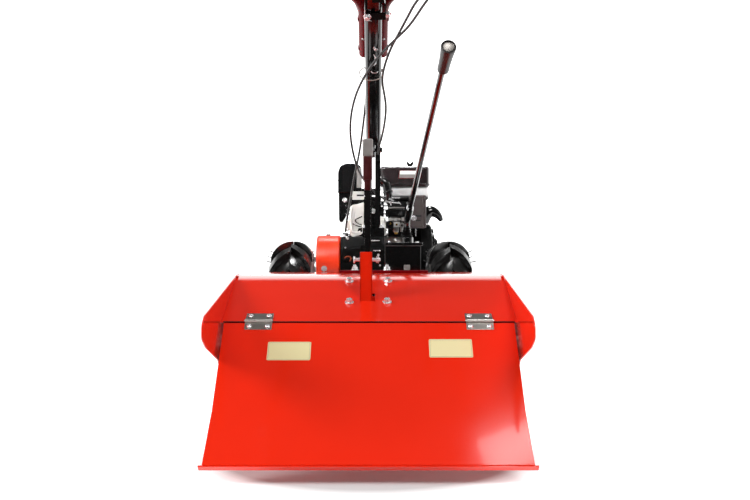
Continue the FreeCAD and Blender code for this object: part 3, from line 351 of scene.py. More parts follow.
@dataclass(frozen=True)
class Extent:
    """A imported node's box, in millimetres."""

    low: Vector
    high: Vector

    @classmethod
    def of(cls, node: str) -> "Extent":
        """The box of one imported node."""
        low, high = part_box(node)
        return cls(low / MM, high / MM)

    @property
    def middle(self) -> Vector:
        """The box's centre."""
        return (self.low + self.high) / 2

    @property
    def size(self) -> Vector:
        """The box's three lengths."""
        return self.high - self.low

    @property
    def drum(self) -> tuple[Vector, float, float]:
        """The middle of its left side, half its height and its width: a drum that lies across."""
        return xyz(self.low.x, self.middle.y, self.middle.z), self.size.z / 2, self.size.x

    def at(self, across: float, along: float, up: float) -> Vector:
        """A point of the box, by shares from 0 at its low side to 1 at its high side."""
        return self.low + xyz(self.size.x * across, self.size.y * along, self.size.z * up)


# ---- modelling

def add_object(name: str, data: ID) -> Object:
    """Add an object to the scene.

    Args:
        name: its name.
        data: its mesh, curve, light or camera.

    Returns:
        The object.
    """
    made = bpy.data.objects.new(name, data)
    bpy.context.scene.collection.objects.link(made)
    return made


def facing(direction: Vector, about: float = 0.0) -> Matrix:
    """A rotation that turns +Z to a direction, after a turn about +Z in degrees."""
    return (direction.normalized().to_track_quat("Z", "Y").to_matrix().to_4x4() @ turned(about))


def turned(degrees: float, axis: str = "Z") -> Matrix:
    """A rotation about one of the machine's axes."""
    return Matrix.Rotation(math.radians(degrees), 4, axis)


def moved(*distances: float) -> Matrix:
    """A move by three distances."""
    return Matrix.Translation(distances)


def placed(at: Vector, direction: Vector = Z, about: float = 0.0) -> Matrix:
    """A rotation as in facing(), and then a move to a point."""
    return Matrix.Translation(at) @ facing(direction, about)


def around(count: int, first: float = 0.0) -> Iterator[tuple[int, Vector]]:
    """Number even places round the X axis.

    Args:
        count: how many there are.
        first: where the first one is, in degrees from the top.

    Yields:
        Each place's number and its direction from the axis.
    """
    for order in range(count):
        turn = math.radians(first + 360 / count * order)
        yield order, xyz(0, math.sin(turn), math.cos(turn))


def oblong(left: float, low: float, right: float, high: float) -> list[tuple[float, float]]:
    """A rectangle's corners, anticlockwise."""
    return [(left, low), (right, low), (right, high), (left, high)]


def corners_in(geometry: list) -> list:
    """The vertices among what an operator made."""
    return [item for item in geometry if isinstance(item, bmesh.types.BMVert)]


def soften(mesh: BMesh, parts: list, width: float, segments: int = 2, affect: str = "EDGES") -> None:
    """Round some edges or corners of a mesh.

    Args:
        mesh: the mesh.
        parts: its edges or vertices; there may be none.
        width: how far they are rounded; nothing happens at 0.
        segments: how many faces a rounded edge has.
        affect: EDGES or VERTICES.
    """
    if width > 0 and parts:
        bmesh.ops.bevel(mesh, geom=parts, offset=width, offset_type="OFFSET", segments=segments,
            profile=0.5, affect=affect, clamp_overlap=True, material=-1)


@dataclass
class Shape:
    """A mesh that grows, in millimetres, out of operators."""

    mesh: BMesh = field(default_factory=bmesh.new)

    def block(self, low: Vector, high: Vector, bevel: float = 0.0, segments: int = 2,
            turn: Matrix = Matrix()) -> "Shape":
        """Add a box between two corners, its edges rounded, and then turned.

        Args:
            low: the lowest corner.
            high: the highest corner.
            bevel: how far the edges are rounded.
            segments: how many faces each rounded edge has.
            turn: a transform that is applied last.

        Returns:
            This shape.
        """
        low, high = Vector(low), Vector(high)
        made = bmesh.ops.create_cube(self.mesh, size=1.0)["verts"]
        place = turn @ Matrix.Translation((low + high) / 2) @ Matrix.Diagonal((*(high - low), 1.0))
        bmesh.ops.transform(self.mesh, verts=made, matrix=place)
        soften(self.mesh, list({edge for vert in made for edge in vert.link_edges}), bevel, segments)
        return self

    def rod(self, start: Vector, end: Vector, radius: float, end_radius: float | None = None,
            sides: int = 32, bevel: float = 0.0, segments: int = 2) -> "Shape":
        """Add a round bar or a cone between two points, its rims rounded.

        Args:
            start: the middle of one end.
            end: the middle of the other end.
            radius: the radius at the start.
            end_radius: the radius at the end, if it differs.
            sides: how many sides the bar has.
            bevel: how far the rims are rounded.
            segments: how many faces a rounded rim has.

        Returns:
            This shape.
        """
        start, end = Vector(start), Vector(end)
        run = end - start
        made = bmesh.ops.create_cone(self.mesh, cap_ends=True, segments=sides, radius1=radius,
            radius2=radius if end_radius is None else end_radius, depth=run.length,
            matrix=placed((start + end) / 2, run))["verts"]
        rims = [edge for edge in {edge for vert in made for edge in vert.link_edges}
            if any(len(face.verts) == sides and sides > 4 for face in edge.link_faces)]
        soften(self.mesh, rims, bevel, segments)
        return self

    def lathe(self, profile: list[tuple[float, float]], at: Vector, axis: Vector, steps: int = 64,
            closed: bool = False) -> "Shape":
        """Spin a profile about an axis.

        Args:
            profile: points as (radius, height along the axis).
            at: the point of the axis at height 0.
            axis: the axis's direction.
            steps: how many faces go round.
            closed: whether the profile's last point joins its first.

        Returns:
            This shape.
        """
        part = bmesh.new()
        verts = [part.verts.new((radius, 0, height)) for radius, height in profile]
        edges = [part.edges.new(pair) for pair in zip(verts, verts[1:])]
        if closed:
            edges.append(part.edges.new((verts[-1], verts[0])))
        bmesh.ops.spin(part, geom=verts + edges, cent=(0, 0, 0), axis=(0, 0, 1), dvec=(0, 0, 0),
            angle=2 * math.pi, steps=steps, use_merge=True, use_duplicate=False)
        bmesh.ops.remove_doubles(part, verts=part.verts, dist=1e-4)
        bmesh.ops.recalc_face_normals(part, faces=part.faces)
        return self.join(part, placed(at, axis))

    def plate(self, outline: list[tuple[float, float]], thickness: float, place: Matrix,
            corner: float = 0.0, bevel: float = 0.0, segments: int = 2) -> "Shape":
        """Add a flat plate: an outline in its own XY plane, drawn upwards along its Z.

        Args:
            outline: the corners, anticlockwise.
            thickness: how far it is drawn up.
            place: where its own axes go.
            corner: the radius of its rounded corners.
            bevel: how far its edges are rounded.
            segments: how many faces a rounded edge has.

        Returns:
            This shape.
        """
        part = bmesh.new()
        face = part.faces.new([part.verts.new((u, v, 0)) for u, v in outline])
        soften(part, list(face.verts), corner, 5, "VERTICES")
        made = bmesh.ops.extrude_face_region(part, geom=list(part.faces))["geom"]
        bmesh.ops.translate(part, verts=corners_in(made), vec=(0, 0, thickness))
        bmesh.ops.recalc_face_normals(part, faces=part.faces)
        rims = [edge for edge in part.edges if abs(edge.verts[0].co.z - edge.verts[1].co.z) < 1e-6]
        soften(part, rims, bevel, segments)
        return self.join(part, place)

    def wire(self, points: list[Vector], radius: float, smooth: bool = True, closed: bool = False,
            sides: int = 3, taper: tuple[float, ...] = ()) -> "Shape":
        """Add a bent round wire along a smooth line near its points.

        Args:
            points: the route.
            radius: the wire's radius.
            smooth: whether the route is rounded at its points.
            closed: whether it is a ring.
            sides: a quarter of the wire's sides, less one.
            taper: for each point, the share of the radius there.

        Returns:
            This shape.
        """
        curve = bpy.data.curves.new("wire", "CURVE")
        curve.dimensions, curve.bevel_depth, curve.bevel_resolution = "3D", radius, sides
        curve.use_fill_caps = not closed
        line = curve.splines.new("NURBS" if smooth else "POLY")
        line.points.add(len(points) - 1)
        for slot, point in zip(line.points, points):
            slot.co = (*point, 1.0)
        for slot, share in zip(line.points, taper):
            slot.radius = share
        line.use_cyclic_u = closed
        if smooth:
            line.order_u = min(4, len(points))
            line.use_endpoint_u = not closed
            line.resolution_u = 6
        holder = bpy.data.objects.new("wire", curve)
        made = bpy.data.meshes.new_from_object(holder)
        part = bmesh.new()
        part.from_mesh(made)
        bmesh.ops.remove_doubles(part, verts=part.verts, dist=1e-3)
        bmesh.ops.recalc_face_normals(part, faces=part.faces)
        for data, store in ((holder, bpy.data.objects), (curve, bpy.data.curves), (made, bpy.data.meshes)):
            store.remove(data)
        return self.join(part)

    def join(self, part: BMesh, place: Matrix = Matrix()) -> "Shape":
        """Add another mesh, put in its place, and free it.

        Args:
            part: the other mesh.
            place: the transform that puts it there.

        Returns:
            This shape.
        """
        bmesh.ops.transform(part, verts=part.verts, matrix=place)
        made = bpy.data.meshes.new("part")
        part.to_mesh(made)
        part.free()
        self.mesh.from_mesh(made)
        bpy.data.meshes.remove(made)
        return self

    def copy_of(self, node: str, bevel: float, segments: int = 2, least: float = 32.0) -> "Shape":
        """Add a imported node's own shape with its sharp edges rounded.

        Args:
            node: the node.
            bevel: how far the edges are rounded.
            segments: how many faces a rounded edge has.
            least: the smallest angle, in degrees, of an edge that is rounded.

        Returns:
            This shape.
        """
        part = bmesh.new()
        part.from_mesh(frame["nodes"][node].data)
        bmesh.ops.transform(part, verts=part.verts, matrix=Matrix.Scale(1 / MM, 4))
        bmesh.ops.remove_doubles(part, verts=part.verts, dist=WELD_MM)
        bmesh.ops.dissolve_limit(part, angle_limit=math.radians(FLAT_DEGREES), verts=part.verts,
            edges=part.edges, delimit={"NORMAL"})
        sharp = [edge for edge in part.edges if len(edge.link_faces) == 2
            and edge.calc_face_angle(0.0) > math.radians(least)]
        soften(part, sharp, bevel, segments)
        return self.join(part)

    def bolt(self, at: Vector, direction: Vector, width: float = 13.0, washer: bool = True,
            about: float = 0.0, reach: float = 0.0) -> "Shape":
        """Add a hexagon bolt head on its washer, or a nut if the thread reaches through it.

        Args:
            at: the point of the surface under it.
            direction: outwards from the surface.
            width: across the head's flats.
            washer: whether a washer lies under it.
            about: the head's turn, in degrees.
            reach: how far a thread stands out of it.

        Returns:
            This shape.
        """
        out = direction.normalized()
        thick = width * 0.12 if washer else 0.0
        if washer:
            self.rod(at, at + out * thick, width * 0.78, sides=24, bevel=width * 0.03)
        head = width * 0.55
        part = bmesh.new()
        bmesh.ops.create_cone(part, cap_ends=True, segments=6, radius1=width * 0.577,
            radius2=width * 0.577, depth=head)
        tops = [edge for edge in part.edges if all(vert.co.z > 0 for vert in edge.verts)]
        soften(part, tops, width * 0.09)
        self.join(part, placed(at + out * (thick + head / 2), out, about))
        if reach > 0:
            self.rod(at + out * thick, at + out * (thick + head + reach), width * 0.3, sides=16,
                bevel=width * 0.05)
        return self

    def screw(self, at: Vector, direction: Vector, width: float, about: float = 0.0,
            reach: float = 0.0) -> "Shape":
        """Add a bolt head, as in bolt(), with no washer under it."""
        return self.bolt(at, direction, width, False, about, reach)

    def mirrored(self, about_x: float = 0.0) -> "Shape":
        """Add the shape's mirror image in a plane along the machine.

        Args:
            about_x: the plane's X.

        Returns:
            This shape.
        """
        copied = bmesh.ops.duplicate(self.mesh,
            geom=self.mesh.verts[:] + self.mesh.edges[:] + self.mesh.faces[:])["geom"]
        faces = [item for item in copied if isinstance(item, bmesh.types.BMFace)]
        flip = moved(2 * about_x, 0, 0) @ Matrix.Diagonal((-1, 1, 1, 1))
        bmesh.ops.transform(self.mesh, verts=corners_in(copied), matrix=flip)
        bmesh.ops.reverse_faces(self.mesh, faces=faces)
        return self

    def finish(self, name: str, finish: Finish, *replaces: str, body: Body = Body.CHASSIS,
            smooth: float = 40.0) -> Object:
        """Make the piece: an object at the origin, dressed and riding on a body.

        Args:
            name: the piece's name.
            finish: its finish.
            *replaces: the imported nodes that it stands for.
            body: the body that it rides on.
            smooth: the angle, in degrees, under which faces are shaded as one surface.

        Returns:
            The piece.
        """
        bmesh.ops.transform(self.mesh, verts=self.mesh.verts, matrix=Matrix.Scale(MM, 4))
        data = bpy.data.meshes.new(name)
        self.mesh.to_mesh(data)
        self.mesh.free()
        data.materials.append(finish.build())
        data.shade_smooth()
        data.set_sharp_from_angle(angle=math.radians(smooth))
        piece = add_object(name, data)
        piece.modifiers.new("flat_faces_stay_flat", "WEIGHTED_NORMAL").keep_sharp = True
        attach(piece, body.value)
        if replaces:
            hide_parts(*replaces)
        LOG.info("%s: %d faces on %s", name, len(data.polygons), body.value)
        return piece


def dress(finish: Finish, *nodes: str) -> None:
    """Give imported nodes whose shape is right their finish.

    Args:
        finish: the finish.
        *nodes: the nodes.
    """
    for node in nodes:
        slots = frame["nodes"][node].material_slots
        if not slots:
            raise ValueError(f"{node} has no material slot")
        for slot in slots:
            slot.material = finish.build()
        LOG.info("%s: dressed as %s", node, finish.name)


# ---- studio

@dataclass(frozen=True)
class SoftBox:
    """A rectangular studio light that the camera doesn't see."""

    name: str
    at: tuple[float, float, float]
    aim: tuple[float, float, float]
    size: tuple[float, float]
    watts: float
    turn: float = 0.0
    spread: float = 180.0

    def hang(self) -> None:
        """Add the light to the scene."""
        lamp = bpy.data.lights.new(self.name, "AREA")
        lamp.shape, lamp.energy = "RECTANGLE", self.watts
        lamp.size, lamp.size_y = self.size
        lamp.spread = math.radians(self.spread)
        holder = add_object(self.name, lamp)
        away = Vector(self.at) - Vector(self.aim)
        holder.matrix_world = placed(Vector(self.at), away, self.turn)
        holder.visible_camera = False


@dataclass
class Studio:
    """A bright white backdrop, a dim room behind the camera, and soft lights."""

    lens_mm: float = 48.0
    sensor_mm: float = 36.0
    camera_at: tuple[float, float, float] = (0.012, -2.3619, 0.427)
    floor_half: float = 60.0
    floor_grey: float = 0.62
    flag_width: float = 9.0
    flag_height: float = 3.4
    flag_along: tuple[float, float] = (-4.6, -0.78)
    flag_lift: float = 0.01
    backdrop: float = 2.2
    overhead: float = 0.08
    behind: float = 0.1
    turning: tuple[float, float] = (-0.5, 0.3)
    # The floor's glow: none inside an oval round the machine, which is a painted shadow there, and full
    # beyond it.
    painted_shadow_edge: tuple[float, float] = (0.35, 0.44)
    glow_beyond_shadow: float = 0.9
    painted_shadow_middle: tuple[float, float, float] = (0, -0.375, 0)
    painted_shadow_squeeze: tuple[float, float, float] = (1.2, 1.25, 1)
    white_below: float = 0.47
    dim_above: float = 0.62
    lights: tuple[SoftBox, ...] = (SoftBox("side_left", (-2.5, -0.9, 1.6), (-0.1, -0.1, 0.3), (1.0, 1.0),
        48.0), SoftBox("key_left", (-1.3, -2.9, 2.7), (0.0, -0.1, 0.3), (1.2, 1.2), 30.0),
        SoftBox("key_right", (1.1, -2.4, 3.2), (0.0, -0.1, 0.3), (1.3, 1.3), 72.0),
        SoftBox("engine_glint", (-0.8, -1.7, 1.5), (0.02, 0.5, 0.56), (0.3, 0.3), 0.9, 0.0, 20.0),
        SoftBox("overhead_front", (0.0, 1.05, 2.0), (0.02, 0.68, 0.65), (0.8, 0.5), 2.0, 0.0, 14.0),
        SoftBox("small_overhead", (0.60, -0.93, 2.2), (0.26, -0.5, 0.08), (0.34, 0.16), 1.45, -16.0),)

    def world(self) -> None:
        """White at the horizon, a dim ceiling, and darkness behind the camera."""
        world = bpy.data.worlds.new("white_room")
        bpy.context.scene.world = world
        world.use_nodes = True
        tree = world.node_tree
        direction = add_node(tree, "ShaderNodeTexCoord").outputs["Generated"]
        parts = add_node(tree, "ShaderNodeSeparateXYZ", {"Vector": direction}).outputs
        fade = add_node(tree, "ShaderNodeMapRange", {"Value": parts["Z"], "From Min": self.white_below,
            "From Max": self.dim_above, "To Min": self.backdrop, "To Max": self.overhead},
            interpolation_type="SMOOTHSTEP")
        front = add_node(tree, "ShaderNodeMapRange", {"Value": parts["Y"], "From Min": self.turning[0],
            "From Max": self.turning[1], "To Min": self.behind, "To Max": fade.outputs["Result"]},
            interpolation_type="SMOOTHSTEP")
        set_inputs(tree.nodes["Background"], {"Strength": front.outputs["Result"], "Color": WHITE})

    def floor(self) -> None:
        """A pale floor that glows further off; its glow is taken out in an oval round the machine, which
        is a painted shadow.
        """
        sheet = bmesh.new()
        bmesh.ops.create_grid(sheet, x_segments=1, y_segments=1, size=self.floor_half)
        tree = self.prop("floor", "glowing_floor_with_painted_shadow", sheet, self.floor_grey, 0.9, 0.1)
        place = add_node(tree, "ShaderNodeTexCoord").outputs["Object"]
        painted_shadow_oval = add_node(tree, "ShaderNodeVectorMath", {0: place, 1: self.painted_shadow_squeeze},
            operation="MULTIPLY")
        away = add_node(tree, "ShaderNodeVectorMath", {0: painted_shadow_oval.outputs["Vector"], 1: self.painted_shadow_middle},
            operation="DISTANCE")
        # Painted shadow: the floor glows only outside the oval round the machine.
        painted_floor_glow = add_node(tree, "ShaderNodeMapRange", {"Value": away.outputs["Value"],
            "From Min": self.painted_shadow_edge[0], "From Max": self.painted_shadow_edge[1], "To Min": 0.0,
            "To Max": self.glow_beyond_shadow})
        set_inputs(tree.nodes["Principled BSDF"], {"Emission Color": WHITE,
            "Emission Strength": painted_floor_glow.outputs["Result"]})

    def black_flag(self) -> None:
        """A dark card behind the camera and a cloth under it, which keep black paint black."""
        behind, near = self.flag_along
        card = bmesh.new()
        place = moved(0, (behind + near) / 2, self.flag_lift) @ Matrix.Diagonal((self.flag_width,
            near - behind, 1, 1))
        bmesh.ops.create_grid(card, x_segments=1, y_segments=1, size=0.5, matrix=place)
        back = [edge for edge in card.edges if all(vert.co.y < behind + MM for vert in edge.verts)]
        raised = bmesh.ops.extrude_edge_only(card, edges=back)["geom"]
        bmesh.ops.translate(card, verts=corners_in(raised), vec=(0, 0, self.flag_height - self.flag_lift))
        self.prop("black_flag", "black_flag_cloth", card, 0.02, 1.0, 0.0)
        flag = bpy.data.objects["black_flag"]
        flag.visible_camera = flag.visible_shadow = False

    @staticmethod
    def prop(name: str, paint: str, part: BMesh, grey: float, roughness: float,
            specular: float) -> NodeTree:
        """Add a piece of the stage in a plain grey.

        Args:
            name: its name.
            paint: its material's name.
            part: its mesh, which is freed.
            grey: its linear grey.
            roughness: its roughness.
            specular: its specular level.

        Returns:
            The material's node tree.
        """
        data = bpy.data.meshes.new(name)
        part.to_mesh(data)
        part.free()
        material = bpy.data.materials.new(paint)
        material.use_nodes = True
        data.materials.append(material)
        prop = add_object(name, data)
        set_inputs(material.node_tree.nodes["Principled BSDF"], {"Base Color": (grey, grey, grey, 1),
            "Roughness": roughness, "Specular IOR Level": specular})
        return material.node_tree

    def camera(self) -> None:
        """A level camera behind the machine, at the height of its hood."""
        lens = bpy.data.cameras.new("view_from_behind")
        lens.lens, lens.sensor_width, lens.clip_end = self.lens_mm, self.sensor_mm, 100.0
        holder = add_object("view_from_behind", lens)
        holder.location = self.camera_at
        holder.rotation_euler.x = math.radians(90)
        bpy.context.scene.camera = holder

    def build(self) -> None:
        """Set up the room, its lights and the camera."""
        bpy.context.scene.view_settings.view_transform = "Standard"
        self.world()
        self.floor()
        self.black_flag()
        for light in self.lights:
            light.hang()
        self.camera()


# ---- hood and flap

def joint_point(name: str) -> Vector:
    """A point of a joint's axis, in millimetres."""
    return Vector(next(joint for joint in frame["joints"] if joint["name"] == name)["pos_m"]) / MM


def forward_of_axle(distance: float) -> float:
    """The Y of a place that is so far in front of the wheel axle."""
    return Extent.of("wheel_axle").middle.y + distance


@dataclass(frozen=True)
class Slope:
    """A face that leans back from the level and passes near a joint's axis."""

    lean: float
    below_axis: float = 3.9
    joint: str = "flap_hinge"

    @property
    def up(self) -> Vector:
        """The direction up the face."""
        return xyz(0, math.cos(math.radians(self.lean)), math.sin(math.radians(self.lean)))

    @property
    def out(self) -> Vector:
        """The direction out of the face."""
        return xyz(0, -math.sin(math.radians(self.lean)), math.cos(math.radians(self.lean)))

    def point(self, across: float, run: float, rise: float = 0.0) -> Vector:
        """A point so far to the right of the joint, up the face from it and out of the face."""
        return joint_point(self.joint) + X * across + self.up * run + self.out * (rise - self.below_axis)

    def place(self, across: float = 0.0, run: float = 0.0, rise: float = 0.0) -> Matrix:
        """Axes on the face: +X across, +Y up it, +Z out of it."""
        turn = Matrix((X, self.up, self.out)).transposed().to_4x4()
        return Matrix.Translation(self.point(across, run, rise)) @ turn


@dataclass
class Hood:
    """The sheet hood: roof, rear panel, two side plates, and what is bolted to them."""

    panel: Slope = Slope(21.4)
    flap: Slope = Slope(45.0)
    sheet_edge: float = 0.5
    panel_bolts: Pairs = ((-43, 99), (38, 101), (-46, 214), (41, 215))
    roof_bolts: Pairs = ((-37, -315), (41, -315))
    bolt_width: float = 12.5
    welds: int = 4
    weld_spacing: float = 52.0
    # Half the length of the black strips at the hinge line, which are painted shade of its gap.
    gap_strip_half: float = 300.0

    def sheets(self) -> None:
        """The roof with the rear panel, and the side plates, their cut edges just broken."""
        for node in ("hood_panel", "side_plate_left", "side_plate_right", "flap"):
            body = Body.FLAP if node == "flap" else Body.CHASSIS
            Shape().copy_of(node, self.sheet_edge).finish(f"{node}_sheet", POWDER_RED, node, body=body)

    def roof(self) -> None:
        """The doubling strip on the roof and the saddle under it."""
        Shape().copy_of("roof_strip", 1.2).finish("roof_doubler", CRIMSON, "roof_strip")
        Shape().copy_of("hood_saddle", 2.0).finish("hood_saddle_casting", BLACK_CAST, "hood_saddle")

    def bolts(self) -> None:
        """Zinc hexagon bolts with washers through the rear panel and the roof."""
        shape = Shape()
        for order, (across, run) in enumerate(self.panel_bolts):
            shape.bolt(self.panel.point(across, run), self.panel.out, self.bolt_width, about=17 * order)
        top = Extent.of("roof_strip").high.z
        for order, (across, behind) in enumerate(self.roof_bolts):
            shape.bolt(xyz(across, forward_of_axle(behind), top), Z, self.bolt_width,
                about=11 + 25 * order, reach=5)
        shape.finish("hood_bolts", ZINC)

    def seams(self) -> None:
        """Short welds between the side plates and the sheet, along the corner under the roof."""
        roof, plate = Extent.of("hood_panel"), Extent.of("side_plate_left")
        shape = Shape()
        for order in range(self.welds):
            along = plate.high.y - 30 - self.weld_spacing * order
            points = [xyz(roof.low.x + 1.5, along - step * 4, roof.high.z - 4.5 + 0.3 * (step % 2))
                for step in range(7)]
            shape.wire(points, 2.0)
        shape.mirrored()
        shape.finish("hood_welds", POWDER_RED)

    def hinge_gap_shade_strips(self) -> None:
        """Thin black strips on the edges that meet at the hinge line, one on each body: painted shade of
        the gap between them.
        """
        half = self.gap_strip_half
        edges = ((self.panel, 1.2, 4.6, Body.CHASSIS), (self.flap, -2.9, -1.2, Body.FLAP))
        for slope, near, far, body in edges:
            outline, place = oblong(-half, near, half, far), slope.place(0, 0, 0.05)
            # Black strips on both edges: painted shade of the gap at the hinge line.
            gap_shade_strip = Shape().plate(outline, 0.3, place, corner=0.4, bevel=0.08)
            gap_shade_strip.finish(f"{body.value}_hinge_gap_painted_shade", SATIN_CAST, body=body)

    def build(self) -> None:
        """Build every piece of the hood."""
        self.sheets()
        self.hinge_gap_shade_strips()
        self.roof()
        self.bolts()
        self.seams()


@dataclass
class Flap:
    """What is fixed to the hinged flap: two blank plates and two butt hinges."""

    sheet: Slope = Slope(45.0)
    panel: Slope = Slope(21.4)
    plate_size: tuple[float, float] = (87.0, 47.0)
    plates: Pairs = ((-160, -77), (164, -70))
    leaf_width: float = 56.0
    leaf_thickness: float = 2.0
    knuckles: int = 5
    screw_inset: float = 9.0

    def blank_plates(self) -> None:
        """Two blank cream plates with a fine pressed border."""
        width, height = self.plate_size
        shape, border = Shape(), Shape()
        corners = oblong(-width / 2, -height / 2, width / 2, height / 2)
        for across, run in self.plates:
            shape.plate(corners, 0.5, self.sheet.place(across, run, 0.1), corner=3, bevel=0.15)
            face = self.sheet.place(across, run, 0.6)
            route = [face @ xyz(u * 0.95, v * 0.91, 0.0) for u, v in corners]
            border.wire(route, 0.25, smooth=False, closed=True, sides=1)
        shape.finish("blank_plates", CREAM_VINYL, body=Body.FLAP)
        border.finish("blank_plate_borders", MATT_PP, body=Body.FLAP)

    def middle(self, side: int, node: str = "hinge_leaves_fixed") -> float:
        """The X of a hinge's middle."""
        return side * (Extent.of(node).high.x - self.leaf_width / 2)

    def leaf(self, slope: Slope, side: int, start: float, length: float) -> Shape:
        """One hinge leaf, with rounded far corners, flat on its sheet.

        Args:
            slope: the sheet under it.
            side: which side of the machine.
            start: where the leaf's barrel edge is, up the sheet from the hinge.
            length: how far it reaches from there; downwards if it is negative.

        Returns:
            The leaf.
        """
        half = self.leaf_width / 2
        outline = oblong(-half, start, half, start + length)
        if length < 0:
            outline.reverse()
        place = slope.place(self.middle(side), 0.0, 0.05)
        return Shape().plate(outline, self.leaf_thickness, place, corner=1.2, bevel=0.35)

    def screws(self, slope: Slope, side: int, runs: tuple[float, ...]) -> Shape:
        """Round-headed screws with a cross slot, two at each place up the leaf.

        Args:
            slope: the sheet under the leaf.
            side: which side of the machine.
            runs: how far up the sheet each pair is.

        Returns:
            The screws.
        """
        shape = Shape()
        middle = self.middle(side)
        for run in runs:
            for hand in (-1, 1):
                place = slope.place(middle + hand * (self.leaf_width / 2 - self.screw_inset), run,
                    self.leaf_thickness)
                head = [(0.0, 2.6), (2.4, 2.5), (4.4, 1.8), (5.4, 0.6), (5.5, 0.0)]
                shape.lathe(head, place.translation, slope.out, steps=28)
                for turn in (20, 110):
                    slot = place @ turned(turn)
                    shape.block((-2.6, -0.45, 2.2), (2.6, 0.45, 2.72), bevel=0.1, turn=slot)
        return shape

    def barrel(self, side: int) -> Shape:
        """The rolled knuckles round the hinge pin, and the pin's peened ends.

        Args:
            side: which side of the machine.

        Returns:
            The barrel.
        """
        axis = joint_point("flap_hinge")
        middle = self.middle(side, "hinge_leaves_moving")
        each = self.leaf_width / self.knuckles
        shape = Shape()
        for order in range(self.knuckles):
            low = middle - self.leaf_width / 2 + each * order + 0.3
            shape.rod((low, axis.y, axis.z), (low + each - 0.6, axis.y, axis.z), 3.6, sides=28, bevel=0.35)
        reach = self.leaf_width / 2 + 1.6
        shape.rod((middle - reach, axis.y, axis.z), (middle + reach, axis.y, axis.z), 1.9, sides=20,
            bevel=0.7)
        return shape

    def hinges(self) -> None:
        """Both hinges, each leaf and its screws on the body that it is screwed to."""
        fixed, moving, fixed_screws, moving_screws = Shape(), Shape(), Shape(), Shape()
        for side in SIDES.values():
            fixed.join(self.leaf(self.panel, side, 5.2, 34.0).mesh)
            moving.join(self.leaf(self.sheet, side, -1.0, -20.5).mesh)
            moving.join(self.barrel(side).mesh)
            fixed_screws.join(self.screws(self.panel, side, (27.0,)).mesh)
            moving_screws.join(self.screws(self.sheet, side, (-13.0,)).mesh)
        fixed.finish("hinge_fixed_leaves", HINGE_STEEL, "hinge_leaves_fixed")
        moving.finish("hinge_moving_leaves", HINGE_STEEL, "hinge_leaves_moving", body=Body.FLAP)
        fixed_screws.finish("hinge_fixed_screws", ZINC)
        moving_screws.finish("hinge_moving_screws", ZINC, body=Body.FLAP)

    def build(self) -> None:
        """Build what the flap carries."""
        self.blank_plates()
        self.hinges()


# ---- wheels

